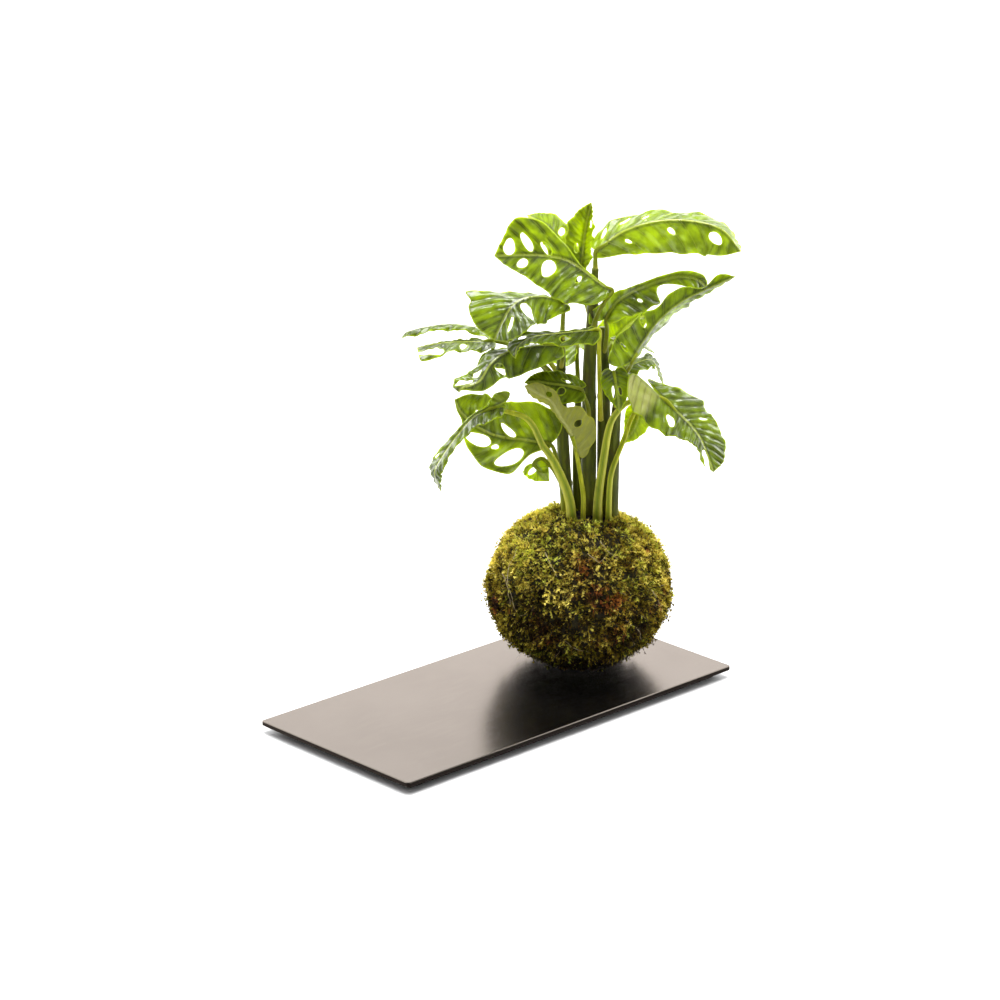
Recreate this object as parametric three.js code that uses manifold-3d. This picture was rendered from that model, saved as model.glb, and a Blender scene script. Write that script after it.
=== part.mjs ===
// Kokedama: a young Swiss cheese plant whose root ball is wrapped in moss, standing on a flat black tray.
// Millimetres, +Z up. The tray's long side runs along X, and the floor is at z = 0.
import * as THREE from "three";
import { mergeVertices } from "three/addons/utils/BufferGeometryUtils.js";
import Module from "manifold-3d";

const wasm = await Module();
wasm.setup();

// Driving dimensions
const trayLength = 300;
const trayWidth = 146;
const trayThickness = 3.5;
const trayCornerRadius = 1.5;
const trayBevel = 0.5;
const baseHeight = 5;
const baseInset = 8;
const ballRadius = 62;
const ballHalfHeight = 57;
const ballFlat = 2.5;
const mossThickness = 5;
const mossRelief = 3.2;
const mossDetail = 9;
const soilDetail = 3;
const mossMouthRadius = 21.5;
const mossMouthPlace = [7.5, -1];
const mossMouthSides = 20;
const ballPlace = [80, 6];
const plantTurn = -43.4;
const seatGap = 0.3;
const stemSides = 8;
const stemSteps = 8;
const stemTaper = 3;
const petioleFootRadius = 2;
const petioleTopRadius = 1.2;
const petioleSides = 5;
const petioleTaper = 0.6;
const ribReach = 9;
const ribDrop = 1;
const bladeThickness = 0.8;
const holeReach = 4;
const holeSlants = [65, 40];
const largeHole = 9;
const ballCentre = ballHalfHeight - ballFlat;

// Half of an evenly grown leaf's outline, from the petiole round the basal lobe to the drip tip: along
// the midrib in leaf lengths, then out from it in half widths. Behind the petiole it is stretched to
// the leaf's own lobe length.
const outline = [
  [0, 0],
  [-1, 0.3],
  [-0.8, 0.66],
  [0.07, 0.93],
  [0.27, 1],
  [0.49, 0.86],
  [0.7, 0.58],
  [0.87, 0.25],
  [1, 0],
];
// The least step along the midrib between two rows of a blade, in leaf lengths.
const rowStep = 0.015;
const usualLobe = [0.1, 0.1];
const evenHalves = [0, 0];
const taperReach = 0.5;

// The stems: points from the soil to the top, with the radius at each end.
const stems = [
  { name: "main", points: [[6, 2, 92], [6.5, 2, 150], [6, 1, 205], [8, 0, 250], [9.5, -1, 281]], radii: [5, 2.2] },
  { name: "second", points: [[16.5, 6.5, 92], [16.5, 6.5, 150], [16, 6, 205], [15, 6, 238]], radii: [4.8, 2.4] },
  { name: "right", points: [[22.5, -2, 92], [23, -2, 140], [24, -3, 175], [27, -4, 204]], radii: [4, 2.4] },
  { name: "centre", points: [[-1, 10, 92], [-1.5, 10, 150], [-1, 10, 190]], radii: [3.4, 2] },
  { name: "left", points: [[-7, 5, 92], [-11, 5, 150], [-13, 5, 195], [-12.5, 3, 233]], radii: [4.4, 2] },
];

// The leaves. midrib runs from the petiole to the tip. left and right say which way each half spreads,
// at the base and at the tip, seen from above with the tip ahead. width is each half's width and curl
// how far it curls up, in degrees. edges gives the outlines of the left and right half where the leaf
// isn't evenly grown, in the measures of outline. Elsewhere belly moves the widest place towards the tip,
// lobe is how far the half reaches behind the petiole, both in leaf lengths, and taper is the share of
// its width that it loses at the base. petiole runs from its foot to the base of the blade. A hole is:
// place along, place across (left is positive), length and width in millimetres, and the slant of its
// length from the midrib in degrees where it doesn't follow the side veins.
const leaves = [
  {
    name: "top_right",
    midrib: [[10, 0, 293], [28, -3, 307], [50, -7, 315], [73, -10, 316], [93, -12, 310.5], [106, -14, 296]],
    left: [[-0.3, 0.95, 0.15], [0, 0.99, 0.05]],
    right: [[0.2, -0.2, -0.96], [0, -0.3, -0.95]],
    width: [20, 25],
    curl: [0, -5],
    edges: [
      [[0, 0], [-0.03, 0.35], [0, 0.65], [0.1, 0.88], [0.25, 0.98], [0.45, 1], [0.6, 0.97], [0.75, 0.97],
        [0.88, 0.85], [0.96, 0.5], [1, 0]],
      [[0, 0], [-0.03, 0.12], [0, 0.25], [0.1, 0.5], [0.22, 0.72], [0.38, 0.85], [0.55, 0.9], [0.7, 0.84],
        [0.83, 0.82], [0.93, 0.55], [1, 0]],
    ],
    petiole: [[9.6, -1, 279], [9.5, -0.5, 287], [10, 0, 293]],
    holes: [[0.48, -0.3, 6, 3, 40], [0.8, -0.29, 16, 6.5, 5], [0.08, 0.5, 9, 4, 60], [0.21, 0.6, 9, 3, 50],
      [0.33, 0.5, 6, 3, 45], [0.46, 0.6, 8, 3, 40], [0.2, -0.3, 5, 2.2, 45]],
  },
  {
    name: "top_left",
    midrib: [[21, -6, 266.8], [12.2, -9, 273.2], [1.6, -11, 282], [-10.4, -15, 290.5], [-25.6, -19, 294.6],
      [-41, -23, 296], [-58, -28, 296.8]],
    left: [[0.1, -0.5, -0.85], [-0.1, -0.4, -0.9]],
    right: [[-0.1, 0.4, 0.9], [0.1, 0.4, 0.9]],
    width: [28, 29],
    curl: [-12, 25],
    edges: [
      [[0, 0], [0.03, 0.2], [0.1, 0.46], [0.2, 0.7], [0.35, 0.95], [0.48, 1], [0.59, 0.9], [0.68, 0.76],
        [0.78, 0.57], [0.88, 0.36], [0.95, 0.18], [1, 0]],
      [[0, 0], [0.1, 0.04], [0.22, 0.05], [0.34, 0.06], [0.43, 0.14], [0.53, 0.35], [0.62, 0.58],
        [0.71, 0.8], [0.8, 0.88], [0.88, 0.8], [0.94, 0.42], [1, 0]],
    ],
    petiole: [[8, -3, 236], [9, -8, 245], [12, -11, 254], [16, -10, 261], [21, -6, 266.8]],
    holes: [[0.9, -0.2, 11, 6.5, 95], [0.785, -0.3, 14, 5, 61], [0.65, -0.17, 10, 4, 50],
      [0.82, 0.2, 7.5, 5.4, 30], [0.625, 0.3, 12, 9, 60], [0.345, 0.27, 6, 3.4, 60]],
  },
  {
    name: "top_back",
    midrib: [[-7, 22, 278], [-14, 27, 292], [-23, 33, 301], [-36, 40, 307]],
    left: [[-0.5, -0.6, -0.4], [-0.5, -0.6, -0.3]],
    right: [[0.6, 0.5, 0.3], [0.5, 0.6, 0.3]],
    width: [13, 12.5],
    curl: [0, 10],
    edges: [
      [[0, 0], [-0.1, 0.3], [-0.08, 0.66], [0.07, 0.93], [0.27, 1], [0.49, 0.86], [0.7, 0.58], [0.87, 0.25],
        [1, 0]],
      [[0, 0], [-0.1, 0.3], [-0.05, 0.6], [0.1, 0.75], [0.3, 0.88], [0.5, 0.97], [0.7, 0.95], [0.87, 0.6],
        [1, 0]],
    ],
    petiole: [[8, 2, 238], [4, 14, 252], [-4, 21, 268], [-7, 22, 278]],
    holes: [[0.45, -0.45, 7, 4]],
  },
  {
    name: "top_young",
    midrib: [[1, 17.6, 277], [2, 18.6, 291], [4, 18.6, 306], [7, 17.6, 321.5]],
    left: [[-0.95, -0.1, 0], [-0.95, -0.3, 0.1]],
    right: [[0.6, -0.6, 0], [0.5, -0.8, 0]],
    width: [13, 10],
    curl: [15, 15],
    edges: [
      [[0, 0], [-0.08, 0.4], [0, 0.75], [0.15, 0.88], [0.33, 0.95], [0.52, 1], [0.7, 0.93], [0.86, 0.62],
        [0.94, 0.32], [1, 0]],
      [[0, 0], [-0.05, 0.3], [0.05, 0.6], [0.2, 0.8], [0.38, 0.95], [0.55, 1], [0.72, 0.9], [0.86, 0.6],
        [0.94, 0.3], [1, 0]],
    ],
    petiole: [[8, 2, 262], [6, 9, 266], [2, 15.5, 271], [1, 17.6, 277]],
    holes: [[0.3, 0.36, 7, 2.6, 5], [0.72, -0.55, 6, 2.6, 10]],
  },
  {
    name: "left_upper",
    midrib: [[-12, -2, 258], [-24, -6, 263], [-37, -13, 264], [-46, -19, 260], [-52, -23, 251],
      [-58, -26, 238]],
    left: [[0.1, -0.45, -0.87], [0.3, -0.6, -0.5]],
    right: [[-0.6, 0.75, 0], [-1, 0.3, 0.1]],
    width: [21, 37],
    curl: [0, 0],
    edges: [
      [[0, 0], [-0.08, 0.06], [-0.09, 0.22], [0.0, 0.42], [0.1, 0.72], [0.22, 0.92], [0.4, 0.95],
        [0.6, 0.96], [0.76, 1], [0.88, 0.8], [0.96, 0.45], [1, 0]],
      [[0, 0], [-0.03, 0.05], [0.08, 0.12], [0.24, 0.19], [0.4, 0.31], [0.52, 0.46], [0.62, 0.66],
        [0.7, 0.95], [0.76, 0.76], [0.85, 0.68], [0.95, 0.42], [1, 0]],
    ],
    petiole: [[-12.5, 3, 229], [-12, 1, 244], [-12, -2, 258]],
    holes: [[0.49, 0.46, 14, 10, 75], [0.8, 0.33, 11, 2.8, 15]],
  },
  {
    name: "left_far",
    midrib: [[-59, 12, 229], [-71, 10, 237], [-88, 8, 239.8], [-105, 6, 238.2], [-117, 5, 235],
      [-121, 4, 230.5]],
    left: [[0, -0.95, -0.08], [0, -0.95, -0.08]],
    right: [[0, 0.95, -0.35], [0, 0.95, -0.35]],
    width: [8, 18],
    curl: [-20, -10],
    edges: [
      [[0, 0], [0, 0.4], [0.04, 0.8], [0.15, 1], [0.32, 0.95], [0.52, 0.8], [0.74, 0.85], [0.9, 0.6],
        [1, 0]],
      [[0, 0], [-0.02, 0.3], [0, 0.66], [0.1, 0.9], [0.27, 1], [0.49, 0.86], [0.7, 0.58], [0.87, 0.25],
        [1, 0]],
    ],
    petiole: [[-13, 5, 203], [-24, 10, 216], [-40, 13, 225], [-59, 12, 229]],
    holes: [[0.4, -0.5, 8, 4]],
  },
  {
    name: "left_middle",
    midrib: [[-59, -3, 231], [-74, -5, 231], [-91, -8, 231.2], [-110, -12, 229.2]],
    left: [[0, -0.98, -0.1], [0, -0.98, -0.1]],
    right: [[0, 0.98, 0.12], [0, 0.98, -0.18]],
    width: [13, 8],
    curl: [-10, -10],
    edges: [
      [[0, 0], [-0.03, 0.35], [0.02, 0.75], [0.15, 0.92], [0.35, 0.92], [0.55, 0.95], [0.72, 1.1],
        [0.88, 1.3], [1.02, 1.3], [1, 0]],
      [[0, 0], [-0.02, 0.3], [0.02, 0.7], [0.12, 0.95], [0.28, 0.9], [0.45, 0.6], [0.62, 0.45], [0.8, 0.35],
        [0.92, 0.2], [1, 0]],
    ],
    petiole: [[-13, 4, 190], [-26, 4, 212], [-42, 1, 225], [-59, -3, 231]],
    holes: [[0.45, 0.5, 7, 4, 40], [0.88, 0.83, 17, 6.4, 0]],
  },
  {
    name: "left_front",
    midrib: [[-13, -4, 229], [-32, -14, 231], [-49, -24, 230], [-60, -31, 224], [-68, -36, 213],
      [-79.5, -38, 208.8], [-81.5, -38.3, 205.5]],
    left: [[0.1, -0.4, -0.85], [0.1, -0.5, -0.8]],
    right: [[-0.1, 0.95, -0.25], [-0.7, 0.6, 0.35]],
    width: [22, 13],
    curl: [0, 0],
    edges: [
      [[0, 0], [-0.01, 0.2], [0, 0.4], [0.08, 0.58], [0.24, 0.78], [0.44, 0.78], [0.64, 0.4], [0.78, 0.14],
        [0.88, 0.06], [1, 0]],
      [[0, 0], [-0.02, 0.3], [0, 0.6], [0.12, 0.88], [0.3, 1], [0.48, 1], [0.66, 0.95], [0.8, 0.85],
        [0.9, 0.5], [1, 0]],
    ],
    petiole: [[-13, 3, 211], [-12, 0, 219], [-12, -3, 226], [-13, -4, 229]],
    holes: [[0.49, 0.36, 10, 7, 70], [0.64, -0.42, 11, 4, 10], [0.8, -0.3, 15, 3.6, 5]],
  },
  {
    name: "centre_left",
    midrib: [[12, -18, 243], [0, -20, 243], [-17, -23, 242], [-32, -27, 241], [-42, -32, 236],
      [-44, -35, 228]],
    left: [[0.2, -0.9, -0.3], [0.3, -0.9, 0.1]],
    right: [[0, 0.98, 0.06], [-0.6, 0.8, 0.1]],
    width: [16, 13],
    curl: [0, 0],
    edges: [
      [[0, 0], [0, 0.3], [0.02, 0.62], [0.1, 0.9], [0.27, 1], [0.45, 0.95], [0.62, 0.75], [0.77, 0.5],
        [0.9, 0.25], [1, 0]],
      [[0, 0], [0, 0.2], [0.03, 0.35], [0.12, 0.35], [0.25, 0.25], [0.42, 0.35], [0.57, 0.75], [0.72, 1],
        [0.87, 0.75], [1, 0]],
    ],
    petiole: [[14, 2, 174], [13.5, -6, 188], [12.5, -11, 210], [12, -15, 230], [12, -18, 243]],
    holes: [[0.35, 0.5, 7, 4, 50], [0.68, -0.5, 6, 3, 40]],
  },
  {
    name: "back_left",
    midrib: [[-2, 16, 222], [-8, 32, 224], [-15, 50, 220], [-24, 68, 206]],
    left: [[-0.5, -0.1, -0.85], [-0.8, -0.2, -0.5]],
    right: [[0.8, 0.2, -0.4], [0.8, 0.2, -0.5]],
    width: [20, 20],
    curl: [0, 0],
    petiole: [[-1, 10, 186], [-1.5, 12, 202], [-2, 14, 213], [-2, 16, 222]],
    holes: [[0.4, 0.5, 9, 5], [0.4, -0.5, 9, 5]],
  },
  {
    name: "right_upper",
    midrib: [[17, -2, 246], [23.8, -2, 257.5], [33.7, -2, 264.3], [42.3, -1, 268], [53.6, 1, 271.7],
      [65.6, 3, 273.9], [77, 5, 271.9], [85, 6, 265.4]],
    left: [[-0.75, -0.2, 0.55], [-0.1, 0.5, 0.85]],
    right: [[0.3, -0.5, -0.8], [0, -0.5, -0.85]],
    width: [12, 15],
    curl: [0, 0],
    edges: [
      [[0, 0], [-0.05, 0.35], [-0.1, 0.75], [-0.01, 1], [0.11, 0.68], [0.25, 0.38], [0.4, 0.28],
        [0.55, 0.28], [0.68, 0.3], [0.82, 0.4], [0.94, 0.4], [1, 0]],
      [[0, 0], [-0.02, 0.2], [0.05, 0.6], [0.15, 0.9], [0.28, 1], [0.42, 1], [0.5, 0.96], [0.51, 0.4],
        [0.57, 0.2], [0.74, 0.42], [0.9, 0.42], [1, 0]],
    ],
    petiole: [[15, 6, 216], [17, 2, 228], [17.5, -1, 238], [17, -2, 247]],
    holes: [[0.33, -0.5, 5, 2.4, 30]],
  },
  {
    name: "right_front",
    midrib: [[34, -22, 222], [41, -22, 235], [52, -20, 250], [67, -17, 262], [82, -14, 269],
      [103, -11, 278]],
    left: [[-0.7, 0.35, 0.6], [-0.3, 0.5, 0.7]],
    right: [[0.3, 0.85, -0.3], [0.2, 0.85, -0.4]],
    width: [18, 21],
    curl: [0, 0],
    edges: [
      [[0, 0], [-0.08, 0.3], [-0.1, 0.8], [0, 0.95], [0.12, 1], [0.24, 0.8], [0.36, 0.68], [0.45, 0.42],
        [0.55, 0.52], [0.66, 0.5], [0.8, 0.15], [0.92, 0.35], [1, 0]],
      [[0, 0], [0.02, 0.1], [0.08, 0.3], [0.16, 0.5], [0.26, 0.75], [0.34, 1.15], [0.4, 1.5], [0.46, 1.2],
        [0.53, 1.35], [0.6, 1.3], [0.68, 0.8], [0.85, 0.4], [1, 0]],
    ],
    petiole: [[26, -4, 198], [29, -9, 208], [33, -16, 217], [34, -22, 222]],
    holes: [[0.08, 0.55, 7.5, 3, 70], [0.33, 0.48, 9, 3.2, 60]],
  },
  {
    name: "right_small",
    midrib: [[24, 15, 226], [38, 18, 225], [52, 20, 215]],
    left: [[0, 0.95, 0], [0, 0.95, 0]],
    right: [[0, -0.9, -0.3], [0, -0.9, -0.3]],
    width: [7, 9],
    curl: [0, 0],
    petiole: [[16, 7, 203], [18, 12, 215], [24, 15, 226]],
    holes: [],
  },
  {
    name: "right_curled",
    midrib: [[29, 2, 209], [39, 4, 214], [48, 6, 215], [53, 7, 207], [57, 8, 195]],
    left: [[-0.1, 0.95, 0.1], [0.3, 0.9, 0.2]],
    right: [[0.1, -0.9, -0.3], [-0.3, -0.9, 0]],
    width: [11, 11],
    curl: [0, 0],
    petiole: [[25.5, -3, 193], [27, 1, 202], [29, 2, 209]],
    holes: [[0.66, -0.4, 8, 4.5, 20]],
  },
  {
    name: "right_arching",
    midrib: [[55.7, -24, 196.5], [66.6, -28, 186.7], [73.7, -32, 180.5], [79.8, -35, 172.5],
      [84.1, -38, 163], [88.6, -42, 151]],
    left: [[0.5, 0.75, 0.3], [0.75, 0.6, 0]],
    right: [[-0.6, -0.6, -0.35], [-0.5, -0.8, -0.2]],
    width: [23, 20],
    curl: [0, 0],
    edges: [
      [[0, 0], [-0.27, 0.08], [-0.24, 0.25], [-0.13, 0.42], [0.04, 0.76], [0.14, 0.92], [0.22, 1],
        [0.31, 0.88], [0.48, 0.85], [0.65, 0.84], [0.82, 0.76], [0.94, 0.48], [1, 0]],
      [[0, 0], [-0.36, 0.03], [-0.46, 0.2], [-0.42, 0.55], [-0.29, 1], [-0.1, 1.13], [0.1, 1.07],
        [0.27, 0.97], [0.42, 0.75], [0.58, 0.48], [0.74, 0.35], [0.88, 0.42], [1, 0]],
    ],
    petiole: [[12.3, -8, 92], [12.5, -8, 120], [16, -10, 150], [19, -12, 171], [23, -14, 182],
      [31, -17, 191.5], [43, -21, 196.5], [55.7, -24, 196.5]],
    foot: 4,
    holes: [[0.18, -0.45, 9, 5, 28], [0.87, -0.17, 15, 5, 12], [0.42, 0.5, 7, 2.6, 50]],
  },
  {
    name: "centre_hanging",
    midrib: [[22, -16.5, 213.2], [23.5, -22, 206], [25, -24, 197], [26, -24, 187]],
    left: [[0.9, 0, 0], [0.9, 0.2, 0]],
    right: [[-0.9, 0, 0], [-0.9, 0.2, 0]],
    width: [10, 10],
    curl: [0, 0],
    petiole: [[24, -4, 184], [24.5, -10, 197], [22, -13.5, 208], [22, -16.5, 213.2]],
    holes: [[0.5, -0.24, 9, 2.4, 5], [0.5, 0.2, 6, 2.4, 5]],
  },
  {
    name: "left_arching",
    midrib: [[-59, -30, 192], [-72, -34, 187], [-83, -38, 175], [-93, -40, 161], [-98, -41, 150],
      [-94, -41, 137]],
    left: [[0.5, -0.75, -0.2], [0.6, -0.75, 0]],
    right: [[-0.1, 0.6, 0.7], [-0.4, 0.9, 0.1]],
    width: [11, 14],
    curl: [0, 0],
    edges: [
      [[0, 0], [-0.1, 0.3], [-0.06, 0.75], [0.05, 1], [0.18, 0.9], [0.32, 0.75], [0.45, 0.6], [0.58, 0.62],
        [0.7, 0.78], [0.82, 0.7], [0.93, 0.38], [1, 0]],
      [[0, 0], [-0.14, 0.06], [-0.2, 0.3], [-0.19, 0.5], [-0.1, 0.65], [-0.02, 0.5], [0.07, 0.22],
        [0.28, 0.18], [0.5, 0.36], [0.7, 0.6], [0.88, 0.62], [1, 0]],
    ],
    petiole: [[-5.5, -9.5, 92], [-6.5, -10.5, 118], [-13, -14, 139], [-20.5, -18, 155], [-25.8, -20, 163],
      [-31.5, -23, 176.5], [-38, -25.5, 184.5], [-50, -28.5, 189.5], [-59, -30, 192]],
    foot: 4.2,
    holes: [[0.62, -0.35, 5, 2, 20]],
  },
  {
    name: "left_lower",
    midrib: [[-20, -10, 160], [-37, -12, 164], [-54, -14, 167], [-68, -14, 173], [-80, -12, 183],
      [-85, -10, 192]],
    left: [[0, -0.3, -0.95], [-0.5, -0.2, -0.8]],
    right: [[-0.05, 0.25, 0.95], [0.1, 0.2, 0.9]],
    width: [23, 26],
    curl: [10, 0],
    edges: [
      [[0, 0], [0, 0.12], [0.06, 0.22], [0.14, 0.4], [0.22, 0.78], [0.3, 1.03], [0.4, 1.04], [0.5, 0.9],
        [0.6, 0.68], [0.68, 0.4], [0.76, 0.14], [0.88, 0.06], [1, 0]],
      [[0, 0], [-0.06, 0.3], [-0.06, 0.7], [0.08, 0.95], [0.2, 1], [0.33, 0.95], [0.45, 0.92], [0.57, 0.87],
        [0.69, 0.83], [0.8, 0.8], [0.9, 0.72], [0.98, 0.42], [1, 0]],
    ],
    petiole: [[-10, -3, 92], [-12, -5, 130], [-16, -8, 150], [-20, -10, 160]],
    holes: [[0.565, 0.31, 16, 8, 12], [0.3, 0.57, 18, 8.5, 40], [0.42, 0.33, 4.5, 3, 30],
      [0.35, -0.2, 13, 4.2, 35], [0.67, -0.27, 8, 5, 20]],
  },
  {
    name: "lower_small",
    midrib: [[-31, 4, 142], [-27, 4, 136], [-20.5, 4, 129]],
    left: [[0.7, 0.1, 0.7], [0.7, 0.1, 0.7]],
    right: [[-0.7, 0, -0.7], [-0.7, 0, -0.7]],
    width: [9, 10],
    curl: [0, 0],
    petiole: [[-9, 6, 120], [-17, 6, 136], [-25, 5, 145], [-31, 4, 142]],
    holes: [[0.28, -0.4, 7, 4, 80]],
  },
  {
    name: "centre_pale",
    midrib: [[-3.4, -20, 160.8], [-5.8, -22, 170.5], [-8.9, -24, 177], [-12.9, -26, 183.4],
      [-16.1, -28, 189.9], [-20.6, -30, 197.6], [-26.6, -32, 201.7], [-38, -33, 209]],
    left: [[0.9, 0.15, 0.4], [0.5, 0.3, 0.7]],
    right: [[-0.6, 0.5, -0.4], [-0.6, 0.5, -0.4]],
    width: [18, 10],
    curl: [0, 0],
    edges: [
      [[0, 0], [-0.13, 0.1], [-0.12, 0.35], [0, 0.72], [0.1, 0.93], [0.18, 1], [0.24, 0.87], [0.36, 0.88],
        [0.47, 0.68], [0.57, 0.3], [0.76, 0.4], [0.92, 0.36], [1, 0]],
      [[0, 0], [-0.02, 0.1], [0.03, 0.18], [0.1, 0.22], [0.2, 0.25], [0.3, 0.26], [0.4, 0.28], [0.5, 0.32],
        [0.6, 0.42], [0.7, 0.55], [0.83, 0.7], [0.93, 0.5], [1, 0]],
    ],
    petiole: [[2, -9, 92], [2.5, -9.5, 120], [1, -12, 134], [-1, -16, 147], [-3.4, -20, 160.8]],
    holes: [[0.24, 0.42, 6.5, 5.5, 60], [0.78, 0.16, 6, 3.6, 5]],
  },
  {
    name: "centre_dark",
    midrib: [[0, -12, 200], [-10, -14, 203], [-20, -16, 205], [-29, -18, 207], [-38, -20, 207]],
    left: [[0, -0.5, -0.85], [0, -0.5, -0.85]],
    right: [[0, 0.75, 0.6], [0, 0.75, 0.6]],
    width: [13, 14],
    curl: [0, 0],
    edges: [
      [[0, 0], [-0.1, 0.3], [-0.08, 0.6], [0.07, 0.8], [0.27, 0.95], [0.49, 0.86], [0.7, 0.58],
        [0.87, 0.25], [1, 0]],
      [[0, 0], [-0.1, 0.25], [-0.05, 0.5], [0.07, 0.68], [0.25, 0.8], [0.45, 0.78], [0.65, 0.62],
        [0.84, 0.35], [1, 0]],
    ],
    petiole: [[6, -1, 173], [5, -7, 186], [2, -11, 195], [0, -12, 200]],
    holes: [[0.24, -0.28, 6, 2.6, 10], [0.32, 0.35, 6, 4.4, 45]],
  },
  {
    name: "back_right",
    midrib: [[20, 31, 217], [28, 36, 225], [37, 41, 232], [51, 47, 237]],
    left: [[-0.6, 0.3, 0.7], [-0.6, 0.3, 0.7]],
    right: [[0.6, -0.3, -0.5], [0.6, -0.3, -0.5]],
    width: [15, 15],
    curl: [0, 0],
    petiole: [[16, 8, 188], [18, 18, 203], [20, 27, 212], [20, 31, 217]],
    holes: [[0.4, -0.4, 8, 4]],
  },
  {
    name: "right_lower",
    midrib: [[40, 6, 180], [39, 10, 171], [35, 12, 161], [27, 12, 153]],
    left: [[-0.95, 0.1, 0.2], [-0.95, 0.1, 0.2]],
    right: [[0.95, 0.1, -0.2], [0.95, 0.1, -0.2]],
    width: [9, 10.5],
    curl: [0, 0],
    petiole: [[19.5, -9.5, 92], [19.8, -9.5, 120], [21, -9.5, 138], [25.5, -8, 152], [30, -4, 162],
      [34, -1, 174], [39, 4, 181], [40, 6, 180]],
    foot: 2.4,
    holes: [],
  },
  {
    name: "left_inner",
    midrib: [[-40, -8, 224], [-54, -11, 225], [-64, -13, 223], [-70, -15, 217]],
    left: [[0, -0.3, -0.95], [0, -0.3, -0.95]],
    right: [[0, 0.7, 0.7], [0, 0.7, 0.7]],
    width: [11, 4],
    curl: [0, 0],
    petiole: [[-13.5, 4, 198], [-20, -2, 209], [-29, -6, 218], [-40, -8, 224]],
    holes: [[0.5, 0.4, 5, 3]],
  },
];

// A point on the smooth curve through a list of points, for a place from 0 to 1 along it.
function along(points, place) {
  const curve = new THREE.CatmullRomCurve3(points.map((p) => new THREE.Vector3(...p)), false, "catmullrom", 0.5);
  return { point: curve.getPoint(place), tangent: curve.getTangent(place) };
}

// A vector part of the way from the first of a pair to the second, square to the tangent and one long.
function spread(pair, place, tangent) {
  const way = new THREE.Vector3(...pair[0]).lerp(new THREE.Vector3(...pair[1]), place);
  return way.addScaledVector(tangent, -way.dot(tangent)).normalize();
}

function lengthOf(points) {
  return new THREE.CatmullRomCurve3(points.map((p) => new THREE.Vector3(...p)), false, "catmullrom", 0.5).getLength();
}

// The place and the upward normal of a spot on a leaf: x runs along the midrib and y across it, in
// millimetres on the flattened leaf, with y positive on the left.
function onLeaf(leaf, x, y) {
  const length = lengthOf(leaf.midrib);
  const place = THREE.MathUtils.clamp(x / length, 0, 1);
  const { point, tangent } = along(leaf.midrib, place);
  point.addScaledVector(tangent, x - place * length);
  const leftWay = spread(leaf.left, place, tangent);
  const rightWay = spread(leaf.right, place, tangent);
  const leftUp = tangent.clone().cross(leftWay);
  const rightUp = rightWay.clone().cross(tangent);
  if (y === 0) {
    return { point, normal: leftUp.add(rightUp).normalize() };
  }
  const [way, up, half] = y > 0 ? [leftWay, leftUp, 0] : [rightWay, rightUp, 1];
  const width = leaf.width[half];
  const curl = THREE.MathUtils.degToRad(leaf.curl[half]) || 0.001;
  const turned = (curl * Math.abs(y)) / width;
  point.addScaledVector(way, (Math.sin(turned) * width) / curl);
  point.addScaledVector(up, ((1 - Math.cos(turned)) * width) / curl);
  const normal = up.clone().multiplyScalar(Math.cos(turned)).addScaledVector(way, -Math.sin(turned));
  return { point, normal };
}

// A closed solid from corners and faces, with its faces turned outwards.
function closedSolid(corners, faces) {
  let volume = 0;
  for (const [a, b, c] of faces) {
    volume += corners[a].dot(corners[b].clone().cross(corners[c]));
  }
  const turned = volume < 0 ? faces.map(([a, b, c]) => [a, c, b]) : faces;
  return new wasm.Manifold(new wasm.Mesh({
    numProp: 3,
    vertProperties: new Float32Array(corners.flatMap((p) => p.toArray())),
    triVerts: new Uint32Array(turned.flat()),
  }));
}

function solidOf(geometry) {
  const plain = geometry.clone();
  plain.deleteAttribute("normal");
  plain.deleteAttribute("uv");
  const merged = mergeVertices(plain, 1e-4);
  return new wasm.Manifold(new wasm.Mesh({
    numProp: 3,
    vertProperties: merged.attributes.position.array,
    triVerts: new Uint32Array(merged.index.array),
  }));
}

function geometryOf(solid) {
  const { vertProperties, triVerts } = solid.getMesh();
  const geometry = new THREE.BufferGeometry();
  geometry.setAttribute("position", new THREE.BufferAttribute(new Float32Array(vertProperties), 3));
  geometry.setIndex(new THREE.BufferAttribute(new Uint32Array(triVerts), 1));
  geometry.computeVertexNormals();
  return geometry;
}

// A round tube through points, closed at both ends, that tapers from its first radius to its last: late
// along it where the power is over 1, and early where it is under 1.
function taperedTube(points, radii, power, sides, steps) {
  const corners = [];
  const faces = [];
  let side = null;
  for (let i = 0; i <= steps; i += 1) {
    const place = i / steps;
    const { point, tangent } = along(points, place);
    side = side || new THREE.Vector3(1, 0, 0);
    side = side.clone().addScaledVector(tangent, -side.dot(tangent)).normalize();
    const across = tangent.clone().cross(side);
    const radius = THREE.MathUtils.lerp(radii[0], radii[1], place ** power);
    for (let k = 0; k < sides; k += 1) {
      const angle = (2 * Math.PI * k) / sides;
      corners.push(point.clone()
        .addScaledVector(side, radius * Math.cos(angle))
        .addScaledVector(across, radius * Math.sin(angle)));
    }
  }
  for (let i = 0; i < steps; i += 1) {
    for (let k = 0; k < sides; k += 1) {
      const a = i * sides + k;
      const b = i * sides + ((k + 1) % sides);
      faces.push([a, b, b + sides], [a, b + sides, a + sides]);
    }
  }
  const last = steps * sides;
  for (let k = 1; k < sides - 1; k += 1) {
    faces.push([0, k + 1, k], [last, last + k, last + k + 1]);
  }
  return closedSolid(corners, faces);
}

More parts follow.
